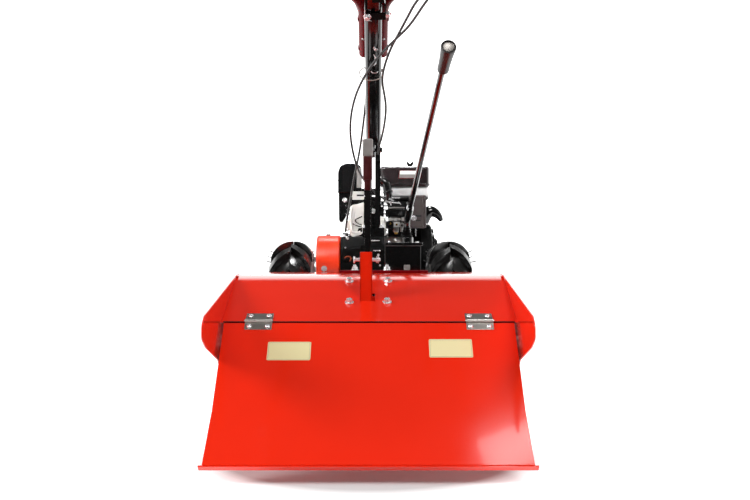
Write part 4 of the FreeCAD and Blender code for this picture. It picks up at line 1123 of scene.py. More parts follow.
@dataclass
class Wheel:
    """A tractor-pattern tyre with slanting lugs on a pressed rim."""

    name: str
    side: int
    lugs: int = 14
    half_pitch_shift: float = 0.25
    slant: float = 46.0
    lug_width: float = 29.0
    half: float = 54.0
    bead: float = 127.8
    hair_root: tuple[float, float] = (51, 195)
    hair_outer: float = 14.0
    hair_inner: float = 8.0
    carcass_curve: Pairs = ((0, 207.6), (12, 207), (22, 204.8), (29, 202), (38, 196.4), (46, 188.6),
        (51, 179.5), (54, 169))
    lug_curve: Pairs = ((0.4, 225.4), (13, 224.9), (24, 221.8), (33, 218), (41, 212.6), (47.5, 206),
        (52, 199.5), (55, 193))

    @property
    def body(self) -> Body:
        """The body of this wheel."""
        return Body.WHEEL_LEFT if self.side < 0 else Body.WHEEL_RIGHT

    @property
    def centre(self) -> Vector:
        """The middle of the wheel."""
        return joint_point(f"{self.name}_wheel_spin")

    def crown_at(self, across: float) -> float:
        """The carcass's radius at a place across it.

        Args:
            across: the distance from the tyre's middle.

        Returns:
            The radius.
        """
        for (near, high), (far, low) in zip(self.carcass_curve, self.carcass_curve[1:]):
            if across <= far:
                return high + (low - high) * (across - near) / (far - near)
        return self.carcass_curve[-1][1]

    def carcass(self) -> None:
        """The hollow tyre: beads, bulging side walls with moulded rings, shoulders and a crown."""
        side_wall = [(0, 36), (3, 39.4), (9, 41), (12, 43.6), (14, 44), (15.5, 43.4), (22, 46.4),
            (30, 49.8), (34, 51.2), (35.5, 52.6), (38, 52.8), (39.5, 52)]
        outside = [(self.bead + rise, across) for rise, across in side_wall]
        outside += [(radius, across) for across, radius in self.carcass_curve[::-1]]
        inside = [(188, 28), (171, 40), (self.bead + 34, 40), (self.bead + 12, 32), (self.bead, 28)]
        profile = outside + [(radius, -across) for radius, across in outside[-2::-1]]
        lining = [(radius, -across) for radius, across in inside[::-1]] + inside
        shape = Shape().lathe(profile + lining, self.centre, X, steps=96, closed=True)
        pitch = math.tau / self.lugs
        for hand in (-1, 1):
            for order in range(self.lugs):
                turn = pitch * (order + (0 if hand > 0 else self.half_pitch_shift))
                shape.join(self.lug(hand), Matrix.Translation(self.centre) @ Matrix.Rotation(turn, 4, "X"))
        shape.finish(f"tyre_{self.name}_rubber", TYRE, f"tyre_{self.name}", body=self.body, smooth=32)

    def lug(self, hand: int) -> BMesh:
        """One bar of the tread, lying over the crown from the middle back to the shoulder.

        Args:
            hand: the half of the tyre that it lies on.

        Returns:
            A mesh about the wheel's own middle, at its top.
        """
        part = bmesh.new()
        sweep = math.tan(math.radians(self.slant))
        half = self.lug_width / 2
        rings = []
        for across, top in self.lug_curve:
            lead = (self.half / 2 - across) * sweep
            root = self.crown_at(min(across, 50.0)) - 6.0
            ring = [(lead - half - 2.2, root), (lead + half + 2.2, root), (lead + half + 0.6, top - 5),
                (lead + half - 0.4, top), (lead - half + 0.4, top), (lead - half - 0.6, top - 5)]
            rings.append([part.verts.new((hand * across, along, self.wrapped(along, radius)))
                for along, radius in ring])
        for ring, following in zip(rings, rings[1:]):
            for place, corner in enumerate(ring):
                beside = (place + 1) % len(ring)
                part.faces.new((corner, ring[beside], following[beside], following[place]))
        for ring in (rings[0], rings[-1]):
            part.faces.new(ring)
        bmesh.ops.recalc_face_normals(part, faces=part.faces)
        ridges = [edge for edge in part.edges if edge.calc_face_angle(0.0) > math.radians(40)]
        soften(part, ridges, 1.8)
        return part

    @staticmethod
    def wrapped(along: float, radius: float) -> float:
        """The height that keeps a point, so far along from the top, at a radius."""
        return math.sqrt(radius ** 2 - along ** 2)

    def hairs(self) -> None:
        """Moulding hairs of new rubber on the shoulders, each a little bent its own way."""
        shape = Shape()
        root, foot = self.hair_root
        pitch = math.tau / self.lugs
        for hand in (-1, 1):
            for order in range(self.lugs * 2):
                turn = pitch * (order / 2 + 0.3 + 0.12 * math.sin(order * 2.4))
                reach = self.hair_outer if hand == self.side else self.hair_inner
                reach += 3 * math.sin(order * 3.1 + hand)
                lift = 6 + 4 * math.cos(order * 1.3)
                spin = Matrix.Translation(self.centre) @ Matrix.Rotation(turn, 4, "X")
                points = [xyz(hand * (root + reach * step), 2.5 * step * step * math.sin(order),
                    foot + lift * step) for step in (0.0, 0.5, 1.0)]
                shape.wire([spin @ point for point in points], 0.95, sides=0)
        shape.finish(f"tyre_{self.name}_hairs", TYRE, body=self.body)

    def rim(self) -> None:
        """The pressed rim: rolled flanges, bead seats, a deep centre, a dished disc and a hub."""
        face = [(134, 43), (135.5, 41.4), (134.4, 39.8), (130, 38.4), (127, 35.5), (127, 21.5), (125, 19),
            (113, 15.4), (111, 13)]
        whole = face + [(radius, -across) for radius, across in face[::-1]]
        lining = [(radius - 2.6, across) for radius, across in whole[::-1]]
        shape = Shape().lathe(whole + lining, self.centre, X, steps=80, closed=True)
        dish = self.side * 5
        disc = [(21.5, -7), (45, -7), (46, -6), (47, -2.5), (62, -2.5), (74, dish - 2.5), (96, dish - 2.5),
            (109.5, -2.5), (109.5, 1.5), (95, dish + 1.5), (75, dish + 1.5), (61, 1.5), (47, 2.5), (46, 6),
            (45, 7), (21.5, 7)]
        shape.lathe(disc, self.centre - X * self.side * 12, X, closed=True)
        hub = [(12.7, 0), (21, 0), (21, 119), (19.5, 121), (12.7, 121)]
        shape.lathe([(radius, -self.side * length) for radius, length in hub], self.centre, X, closed=True)
        shape.finish(f"rim_{self.name}_steel", BLACK_GLOSS, f"rim_{self.name}", body=self.body, smooth=30)

    def fastenings(self) -> None:
        """Five bolts through the disc, the valve, and the pin that holds the hub on its axle."""
        shape = Shape()
        outward = X * self.side
        face = self.centre + outward * (-12 + 7.2)
        for order, spot in around(5):
            shape.bolt(face + spot * 34, outward, 13.0, about=20 * order)
        cross = self.centre - outward * 106
        shape.rod(cross - Z * 27, cross + Z * 27, 3.5, sides=16, bevel=0.8)
        shape.wire([cross + Z * 24, cross + Z * 24 + Y * 14, cross + Y * 25, cross - Z * 24 + Y * 12,
            cross - Z * 24], 1.3)
        shape.finish(f"rim_{self.name}_bolts", ZINC, body=self.body)
        valve = self.centre + xyz(self.side * 14, 0, -112)
        stem = Shape().rod(valve, valve + outward * 24, 3.6, sides=20, bevel=0.5)
        stem.rod(valve + outward * 22, valve + outward * 32, 4.3, 3.8, sides=20, bevel=0.6)
        stem.finish(f"rim_{self.name}_valve", TYRE, body=self.body)

    def build(self) -> None:
        """Build the wheel."""
        self.carcass()
        self.hairs()
        self.rim()
        self.fastenings()


# ---- engine

@dataclass
class Crankcase:
    """The bare casting on the engine plate."""

    rib_count: int = 5

    def build(self) -> None:
        """The crankcase: softened edges, ribs on its near side, bolts and the oil filler."""
        box = Extent.of("engine_crankcase")
        shape = Shape().copy_of("engine_crankcase", 3.0, 3)
        for order in range(self.rib_count):
            across = box.low.x + 22 + order * (box.size.x - 44) / (self.rib_count - 1)
            shape.block((across - 2.5, box.low.y - 3, box.low.z + 14), (across + 2.5, box.low.y + 2,
                box.high.z - 24), bevel=1.6)
        shape.block((box.low.x + 12, box.low.y - 5, box.low.z + 8), (box.high.x - 12, box.low.y + 2,
            box.low.z + 16), bevel=1.5)
        shape.finish("crankcase_casting", DIE_CAST, "engine_crankcase", smooth=35)
        bolts = Shape()
        for share in (0.16, 0.38, 0.62, 0.84):
            at = box.at(share, 0.0, 0.14)
            bolts.screw(at - Y * 4, -Y, 9, about=40 * share)
        for along in (0.2, 0.8):
            for height in (0.2, 0.75):
                bolts.screw(box.at(0, along, height) + X * 8, -X, 9)
        bolts.finish("crankcase_bolts", ZINC)
        filler = box.at(0.93, 0.0, 0.22)
        plug = Shape().rod(filler + Y * 4, filler - Y * 14, 12, 11, bevel=1)
        plug.block(filler + xyz(-9, -21, -3), filler + xyz(9, -13, 3), bevel=1.5)
        plug.finish("oil_filler_plug", BLACK_PP)


@dataclass
class Cylinder:
    """The black finned cylinder, and the bare cast covers on its near side.

    The covers' outlines are measured from the low left corner of the cylinder's box.
    """

    fins: int = 9
    fin_thickness: float = 2.6
    cover_thickness: float = 8.0
    left_cover: Pairs = ((23, -1), (31, 2), (43, 4), (53, 13), (54, 99), (34, 93), (21, 91), (15, 85),
        (15, 76), (22, 70), (15, 67), (11, 60), (6, 36), (4, 24), (13, 16), (14, 4))
    right_cover: Pairs = ((103, 1), (119, 4), (118, 19), (121, 29), (118, 47), (112, 56), (101, 60),
        (100, 19))

    @property
    def corner(self) -> Vector:
        """The low left near corner of the cylinder's box."""
        return Extent.of("engine_cylinder").low

    def near(self, across: float, up: float, out: float = 3.0) -> Vector:
        """A point in front of the cylinder's near side, from its low left corner."""
        return self.corner + xyz(across, -out, up)

    def fins_and_head(self) -> None:
        """The cylinder with its fins and its head, painted black."""
        box = Extent.of("engine_cylinder")
        low, high = box.low, box.high
        shape = Shape()
        shape.block((low.x + 15, low.y + 10, low.z), (high.x - 10, high.y - 9, high.z - 15), bevel=4)
        step = (high.z - 24 - low.z) / (self.fins - 1)
        for order in range(self.fins):
            inset = 0.0 if order % 2 else 3.0
            outline = oblong(low.x + inset, low.y + inset, high.x - inset, high.y - inset)
            shape.plate(outline, self.fin_thickness, moved(0, 0, low.z + 6 + step * order), corner=9,
                bevel=0.8)
        shape.block((low.x + 12, low.y + 18, high.z - 15), (high.x - 18, high.y - 20, high.z - 1), bevel=4,
            segments=3)
        shape.finish("cylinder_fins", BLACK_CAST, "engine_cylinder", smooth=35)

    def covers(self) -> None:
        """Two cast covers with ribs and a raised triangle, and black pieces round it that are painted
        shade of its recesses.
        """
        upright = (Matrix.Translation(self.near(0, 0, -self.cover_thickness + 3)) @ turned(90, "X"))
        shape = Shape()
        for outline in (self.left_cover, self.right_cover):
            shape.plate(list(outline), self.cover_thickness, upright, corner=2.5, bevel=2.4, segments=3)
        for start, middle, end, thick in (((20, 84), (12, 52), (20, 20), 4.2),
                ((27, 72), (22, 52), (30, 26), 2.2), ((20, 14), (30, 8), (44, 14), 3.2),
                ((112, 50), (106, 32), (112, 12), 4.0), ((105, 52), (103, 36), (105, 24), 1.8)):
            shape.wire([self.near(*start), self.near(*middle, 4), self.near(*end)], thick)
        shape.plate([(33, 46), (43, 39), (43, 52)], self.cover_thickness + 3.5, upright, bevel=1)
        shape.finish("cylinder_cast_covers", DIE_CAST, smooth=35)
        # Black plates and lines on the covers: painted shade of the recesses in and between them.
        recess_shade = Shape()
        recess_shade.wire([self.near(*spot, 4) for spot in ((49, 58), (34, 51), (28, 48), (30, 42), (38, 36),
            (48, 33))], 1.7)
        recess_shade.wire([self.near(*spot, 4) for spot in ((22, 37), (31, 31), (40, 28.5), (49, 27))], 1.5)
        recess_shade.plate([(35, 13), (49, 13), (49, 25), (38, 24)], self.cover_thickness + 1, upright, corner=2,
            bevel=0.6)
        recess_shade.plate([(14, 69), (24, 71), (14, 78)], self.cover_thickness - 1, upright, bevel=0.5)
        recess_shade.wire([self.near(106, 46), self.near(109, 36, 5), self.near(106, 28)], 1.0)
        recess_shade.finish("cylinder_cover_painted_shade", BLACK_CAST)
        bolts = Shape()
        for across, up, width in ((81, 73, 14.0), (23, 5, 9.0), (106, 88, 6.0), (110, 7, 8.0),
                (5, 6, 8.0)):
            bolts.screw(self.near(across, up, -2), -Y, width, about=across)
        bolts.finish("cylinder_cover_bolts", ZINC)

    def plug(self) -> None:
        """The ignition plug's rubber boot on the head."""
        foot = Extent.of("engine_cylinder").at(0.28, 0.5, 1.0) - Z * 3
        shape = Shape().rod(foot, foot + xyz(-3, 10, 16), 9, 8, bevel=1.5)
        shape.wire([foot + xyz(-3, 10, 12), foot + xyz(-4, 22, 17), foot + xyz(-4, 34, 6)], 6.0)
        shape.finish("ignition_boot", SHEATH)

    def build(self) -> None:
        """Build the cylinder and its covers."""
        self.fins_and_head()
        self.covers()
        self.plug()


@dataclass
class FanSide:
    """The cooling fan's housing, the recoil starter on it and the starter's handle."""

    ribs: int = 36
    slots: int = 24

    def housing(self) -> None:
        """A drum with a rolled lip and fine ribs round it."""
        base, radius, width = Extent.of("fan_housing").drum
        profile = [(0, 0), (radius - 6, 0), (radius - 2, 1.5), (radius - 2, 5), (radius - 7, 8),
            (radius - 7, width - 8), (radius - 1, width - 5), (radius, width - 3), (radius - 1, width),
            (0, width)]
        shape = Shape().lathe(profile, base, X, steps=80)
        for order, spot in around(self.ribs):
            middle = base + X * (width / 2) + spot * (radius - 6)
            shape.block((-2, -2.4, 6 - width / 2), (2, 2.4, width / 2 - 6), bevel=0.8, segments=1,
                turn=placed(middle, X, 360 / self.ribs * order))
        shape.finish("fan_housing_shell", SATIN_CAST, "fan_housing", smooth=35)

    def recoil(self) -> None:
        """The recoil cover: a stepped dome with slots all round and a deep centre."""
        base, radius, width = Extent.of("recoil_cover").drum
        profile = [(radius, 0), (radius, width - 26), (radius - 3, width - 21), (radius - 9, width - 18),
            (radius - 40, width - 12), (radius - 44, width - 3), (radius - 47, width - 0.5),
            (30, width - 0.5), (27, width - 3), (26, width - 10), (10, width - 10), (9, width - 7),
            (0, width - 7)]
        shape = Shape().lathe([(0, 0)] + profile, base, X, steps=80)
        lean = Matrix.Rotation(-math.atan2(6.0, 31.0), 4, "Y")
        for order, spot in around(self.slots):
            middle = base + X * (width - 14) + spot * (radius - 24)
            place = Matrix.Translation(middle) @ turned(-360 / self.slots * order, "X") @ lean
            shape.block((-3.2, -3.2, -10), (3.2, 3.2, 10), bevel=1.2, segments=1, turn=place)
        shape.finish("recoil_cover_shell", SATIN_CAST, "recoil_cover", smooth=35)
        bolts = Shape()
        for order, spot in around(4, 45):
            bolts.bolt(base + X * (width - 20) + spot * (radius - 8), X, 9, about=20 * order)
        bolts.finish("recoil_bolts", ZINC)

    def handle(self) -> None:
        """The hook-shaped starter handle, thick in the middle, with its cord's guide."""
        box = Extent.of("starter_grip")
        left, right, foot, top = box.low.x, box.high.x, box.low.z, box.high.z
        places = ((left + 10, foot + 3), (left + 12, foot + 20), (left + 22, top - 13),
            (left + 40, top - 15), (right - 16, foot + 26), (right - 11, foot + 10))
        route = [xyz(across, box.middle.y, up) for across, up in places]
        Shape().wire(route, 14.5, taper=(1.0, 1.25, 1.3, 1.1, 0.75, 0.42),
            sides=5).finish("starter_handle", BLACK_PP, "starter_grip", smooth=50)

    def duct(self) -> None:
        """The duct that leads the fan's air to the cylinder, with folded seams and its screws."""
        box = Extent.of("cooling_duct")
        shape = Shape().copy_of("cooling_duct", 3.0, 3)
        for share in (0.25, 0.5, 0.75):
            at = box.at(0, 0, share) + xyz(6, -1.2, 0)
            shape.block(at, xyz(box.high.x - 6, box.low.y + 2, at.z + 4), bevel=0.9)
        shape.finish("cooling_duct_sheet", MATT_PP, "cooling_duct", smooth=35)
        screws = Shape()
        for share in (0.1, 0.9):
            screws.screw(box.at(1, 0, share) - X * 9, -Y, 7)
        screws.finish("cooling_duct_screws", ZINC)

    def build(self) -> None:
        """Build the fan side."""
        self.duct()
        self.housing()
        self.recoil()
        self.handle()


@dataclass
class Tank:
    """The fuel tank with its cap, its pale seat, a blank plate and the outlet pipe."""

    corner: float = 14.0
    plate_size: tuple[float, float] = (62.0, 21.0)

    def shell(self) -> None:
        """Two pressed halves with a crimped flange between them."""
        box = Extent.of("fuel_tank")
        low, high = box.low, box.high
        outline = oblong(low.x, low.y, high.x, high.y)
        place = moved(0, 0, low.z)
        shape = Shape().plate(outline, high.z - low.z, place, corner=self.corner, bevel=7, segments=4)
        flange = oblong(low.x - 3, low.y - 3, high.x + 3, high.y + 3)
        shape.plate(flange, 3.2, moved(0, 0, low.z + 7), corner=self.corner + 3, bevel=1.2)
        shape.finish("tank_shell", TANK_GREY, "fuel_tank")

    def cap(self) -> None:
        """The winged cap on its neck."""
        box = Extent.of("tank_vent")
        foot = box.at(0.5, 0.5, 0.0)
        shape = Shape().lathe([(0, 0), (8, 0), (8, 5), (6.5, 7), (6, 11), (4.8, 15), (0, 15)], foot, Z,
            steps=32)
        for side in SIDES.values():
            route = [foot + xyz(side * across, 0, up) for across, up in ((0, 9.5), (3.5, 12.5),
                (6.5, 16.5), (8.5, 21.5))]
            shape.wire(route, 4.6, taper=(1.0, 1.0, 0.9, 0.6))
        shape.finish("tank_cap_wings", SATIN_CAST, "tank_vent", smooth=45)

    def plate(self) -> None:
        """A blank pale plate with a dark red border on the tank's near side."""
        box = Extent.of("fuel_tank")
        centre = xyz(box.high.x - 55, box.low.y, box.high.z - 24)
        turn = Matrix.Translation(centre) @ turned(90, "X")
        half_w, half_h = self.plate_size[0] / 2, self.plate_size[1] / 2
        corners = [(-half_w - 3, -half_h), (half_w - 3, -half_h), (half_w, half_h), (-half_w, half_h)]
        Shape().plate([(u * 1.05, v * 1.14) for u, v in corners], 0.6, turn, corner=1.5,
            bevel=0.2).finish("tank_plate_border", CRIMSON)
        upper = [(-half_w, 0), (half_w - 2, 0), (half_w, half_h), (-half_w, half_h)]
        Shape().plate(corners, 0.9, turn, corner=1, bevel=0.2).finish("tank_plate", GREY_PLATE)
        Shape().plate(upper, 1.1, turn, corner=1, bevel=0.1).finish("tank_plate_top", PALE_STEEL)

    def seat(self) -> None:
        """The pale band under the tank, and the black plate and bracket below it."""
        box = Extent.of("tank_seat")
        band_low = xyz(box.low.x, box.low.y, Extent.of("fuel_tank").low.z - 27)
        band_high = box.high
        shape = Shape().block(band_low, band_high, bevel=4, segments=3)
        for share in (0.2, 0.5, 0.8):
            at = xyz(band_low.x + share * (band_high.x - band_low.x), band_low.y - 1.4, band_low.z + 5)
            shape.block(at, at + xyz(1.6, 4, 17), bevel=0.7)
        shape.finish("tank_band", PALE_STEEL, "tank_seat")
        below = Shape().block((band_low.x - 16, band_low.y - 6, band_low.z - 9),
            (band_high.x - 2, band_high.y - 4, band_low.z), bevel=4, segments=4)
        below.block((box.low.x + 6, box.middle.y - 35, box.low.z), (box.low.x + 46, box.middle.y + 35,
            band_low.z - 4), bevel=3)
        below.finish("tank_bracket", MATT_PP)

    def outlet(self) -> None:
        """The moulded intake elbow beside the tank, and its clip."""
        box = Extent.of("fuel_tank")
        corner = xyz(box.low.x + 12, box.low.y - 14, box.low.z - 4)
        route = ((-12, 0, 22), (2, -2, 20), (10, -2, 4), (11, 0, -18), (10, 6, -38))
        shape = Shape().wire([corner + Vector(place) for place in route], 12.5, sides=4)
        shape.rod(corner + xyz(10, -1, -8), corner + xyz(11, -1, -15), 14.5, bevel=1)
        shape.finish("intake_elbow", BLACK_PP)

    def build(self) -> None:
        """Build the tank."""
        self.shell()
        self.cap()
        self.plate()
        self.seat()
        self.outlet()


@dataclass
class AirCleaner:
    """The air cleaner: a glossy domed cover over a tapering base, on a pale bracket."""

    base: float = 597.0
    depth: float = 150.0

    def cover(self) -> None:
        """The domed cover with two seams, and the long tapering skirt below it."""
        box = Extent.of("air_cleaner")
        low, high = box.low, xyz(box.low.x + 69, box.high.y, box.high.z)
        base, depth = self.base, self.depth
        front_face = moved(0, box.high.y, 0) @ turned(90, "X")
        outline = [(low.x, base), (high.x, base), (high.x, high.z - 12), (high.x - 6, high.z - 4),
            (high.x - 22, high.z), (low.x + 24, high.z), (low.x + 7, high.z - 7), (low.x, high.z - 24)]
        shape = Shape().plate(outline, depth, front_face, corner=7, bevel=11, segments=6)
        for past, foot, top, longer, ahead, bevel in ((1.2, 34, 37, -6, -3, 0.8),
                (0.8, -1, 3, 1.5, 0.7, 1.0)):
            seam = oblong(low.x - past, base + foot, high.x + past, base + top)
            shape.plate(seam, depth + longer, moved(0, ahead, 0) @ front_face, bevel=bevel)
        skirt = [(low.x + 1, base + 2), (low.x + 2, box.low.z + 8), (low.x + 6, box.low.z),
            (low.x + 13, box.low.z + 2), (low.x + 22, box.low.z + 16), (low.x + 35, base - 44),
            (low.x + 40, base + 2)]
        shape.plate(skirt, 118, moved(0, -16, 0) @ front_face, corner=3, bevel=3, segments=3)
        shape.block((high.x - 12, low.y + 8, base - 8), (box.high.x, low.y + 66, base + 12), bevel=3)
        shape.finish("air_cleaner_cover", BLACK_PP, "air_cleaner")
        bolt = Shape().bolt(xyz(low.x + 20, box.high.y - 134, base - 22), -Y, 9)
        bolt.finish("air_cleaner_bolts", ZINC)

    def bracket(self) -> None:
        """The pale bracket beside the cover, with a black block on its face as painted shade of a slot
        through it.
        """
        box = Extent.of("air_cleaner")
        low = xyz(box.low.x + 43, box.low.y - 42, 573)
        shape = Shape().block(low, low + xyz(34, 4, 24), bevel=1.4)
        shape.block(low + xyz(0, 0, 20), low + xyz(34, 42, 24), bevel=1.2)
        shape.finish("air_cleaner_bracket", DIE_CAST)
        # A black block on the face: painted shade where the slot would be.
        slot = Shape().block(low + xyz(13, -0.6, 10), low + xyz(34.5, 1.4, 15), bevel=0.5)
        slot.finish("air_cleaner_bracket_slot_painted_shade", MATT_PP)
        strap = xyz(box.low.x + 55, box.low.y - 2.5, 610)
        Shape().block(strap, strap + xyz(15, 3, 58), bevel=1.2, segments=3).finish("air_cleaner_strap",
            GREY_PLATE)

    def build(self) -> None:
        """Build the air cleaner."""
        self.cover()
        self.bracket()


@dataclass
class Breathing:
    """The silencer, the carburettor and the governor's rods and springs."""

    coil_steps: int = 34

    def silencer(self) -> None:
        """A box with a bead down its side, two black ovals as painted shade of its slots, a short pipe and
        two struts.
        """
        box = Extent.of("muffler")
        low, high = box.low, box.high
        shape = Shape().block(low, high, bevel=5, segments=4)
        shape.block((high.x - 11, low.y - 1.6, low.z + 3), (high.x - 7, low.y + 2, high.z - 3), bevel=1.6)
        shape.block((low.x + 1, low.y - 1.2, low.z), (high.x, low.y + 2, low.z + 3), bevel=1.2)
        shape.rod((low.x + 3, box.middle.y, low.z + 18), (low.x - 26, box.middle.y, low.z + 18), 13,
            bevel=1)
        shape.finish("silencer_shell", HEAT_GREY, "muffler")
        # Black ovals on the face: painted shade of the two slots, which are not cut.
        slots, face = Shape(), moved(low.x, low.y + 0.6, low.z) @ turned(90, "X")
        for across, up, length, height in ((22, 34, 26, 6), (25, 21, 16, 3.4)):
            outline = oblong(across - length / 2, up - height / 2, across + length / 2, up + height / 2)
            slots.plate(outline, 2.0, face, corner=height * 0.48, bevel=0.3)
        slots.finish("silencer_slots_painted_shade", MATT_PP)
        struts = Shape().bolt(low + xyz(13, -1, 28), -Y, 10)
        for across, width in ((0, 6), (19, 2.6)):
            foot = xyz(low.x - 2 + across, low.y + 6, low.z - 24)
            struts.block(foot, foot + xyz(width, 4, 26), bevel=0.8)
        struts.finish("silencer_struts", ZINC)

    def carburettor(self) -> None:
        """The black intake box with a grey rim, the bare body below it, and brass screws."""
        box = Extent.of("carburettor")
        low = box.low
        bowl = xyz(low.x + 25, box.middle.y - 6, low.z)
        cast = Shape().lathe([(0, 0), (6, 0), (8, 3), (8, 20), (15, 22), (15, 30), (0, 30)], bowl, Z,
            steps=32)
        cast.rod(bowl + xyz(16, -6, 2), bowl + xyz(16, -6, 26), 4.5, bevel=0.8)
        cast.rod(bowl + xyz(-18, 0, 36), bowl + xyz(25, 0, 36), 9, bevel=1.5)
        cast.block(low + xyz(18, -8, 14), low + xyz(35, 6, 29), bevel=1.5)
        for across, up, width, height in ((1, 33, 10, 8), (12, 36, 5, 5), (19, 32, 8, 9), (29, 34, 9, 5),
                (40, 32, 7, 10)):
            cast.block(low + xyz(across, -10, up), low + xyz(across + width, 2, up + height), bevel=1.2)
        cast.finish("carburettor_body", DIE_CAST, "carburettor", smooth=35)
        intake = Shape().block(low + xyz(-6, -6, 44), low + xyz(50, 22, 66), bevel=3)
        intake.block(low + xyz(-5, -3, 10), low + xyz(16, 14, 32), bevel=2)
        intake.rod(low + xyz(41, -8, 20), low + xyz(41, -11, 20), 3.2, bevel=0.5)
        intake.finish("intake_box", BLACK_PP)
        edge = Shape().block(low + xyz(-1, -8, 68), low + xyz(50, 4, 72), bevel=1.4)
        edge.rod(low + xyz(41, -2, 20), low + xyz(41, -8.5, 20), 7.5, bevel=1)
        edge.finish("intake_box_rim", GREY_PLATE)
        brass = Shape().screw(bowl, -Z, 9)
        brass.rod(low + xyz(8, -6, 24), low + xyz(8, -13, 24), 3.2, bevel=0.6)
        brass.rod(low + xyz(26, -8, 22), low + xyz(26, -11, 22), 3.0, bevel=0.5)
        brass.finish("carburettor_brass", BRASS)

    def governor(self) -> None:
        """The bent levers, the rod and the spring over the carburettor."""
        low = Extent.of("carburettor").low
        shape = Shape().plate([(3, 94), (18, 88), (20, 91), (6, 98)], 2.4,
            moved(low.x, low.y - 6, low.z) @ turned(90, "X"), bevel=0.6)

        def spot(across: float, up: float) -> Vector:
            """A point in front of the carburettor, from its low left corner."""
            return low + xyz(across, -8, up)
        for route in (((-9, 86), (2, 89), (14, 84), (36, 83)), ((-4, 92), (-3, 86), (-4, 79)),
                ((9, 87), (9, 82), (10, 77)), ((-20, 103), (-12, 100), (-4, 104)),
                ((30, 88), (36, 84), (38, 78))):
            shape.wire([spot(*place) for place in route], 1.2)
        coil = [spot(12 + n * 0.7, 99 + 3 * math.cos(n * 1.05)) - Y * (3 * math.sin(n * 1.05))
            for n in range(self.coil_steps)]
        shape.wire(coil, 0.7, sides=1)
        for across, up, width in ((-4, 88, 6), (9, 85, 7), (-14, 101, 6), (-20, 83, 5)):
            shape.screw(spot(across, up), -Y, width)
        shape.finish("governor_linkage", ZINC)

    def build(self) -> None:
        """Build the silencer, the carburettor and the linkage."""
        self.silencer()
        self.carburettor()
        self.governor()


# ---- drive train, frame and rotor

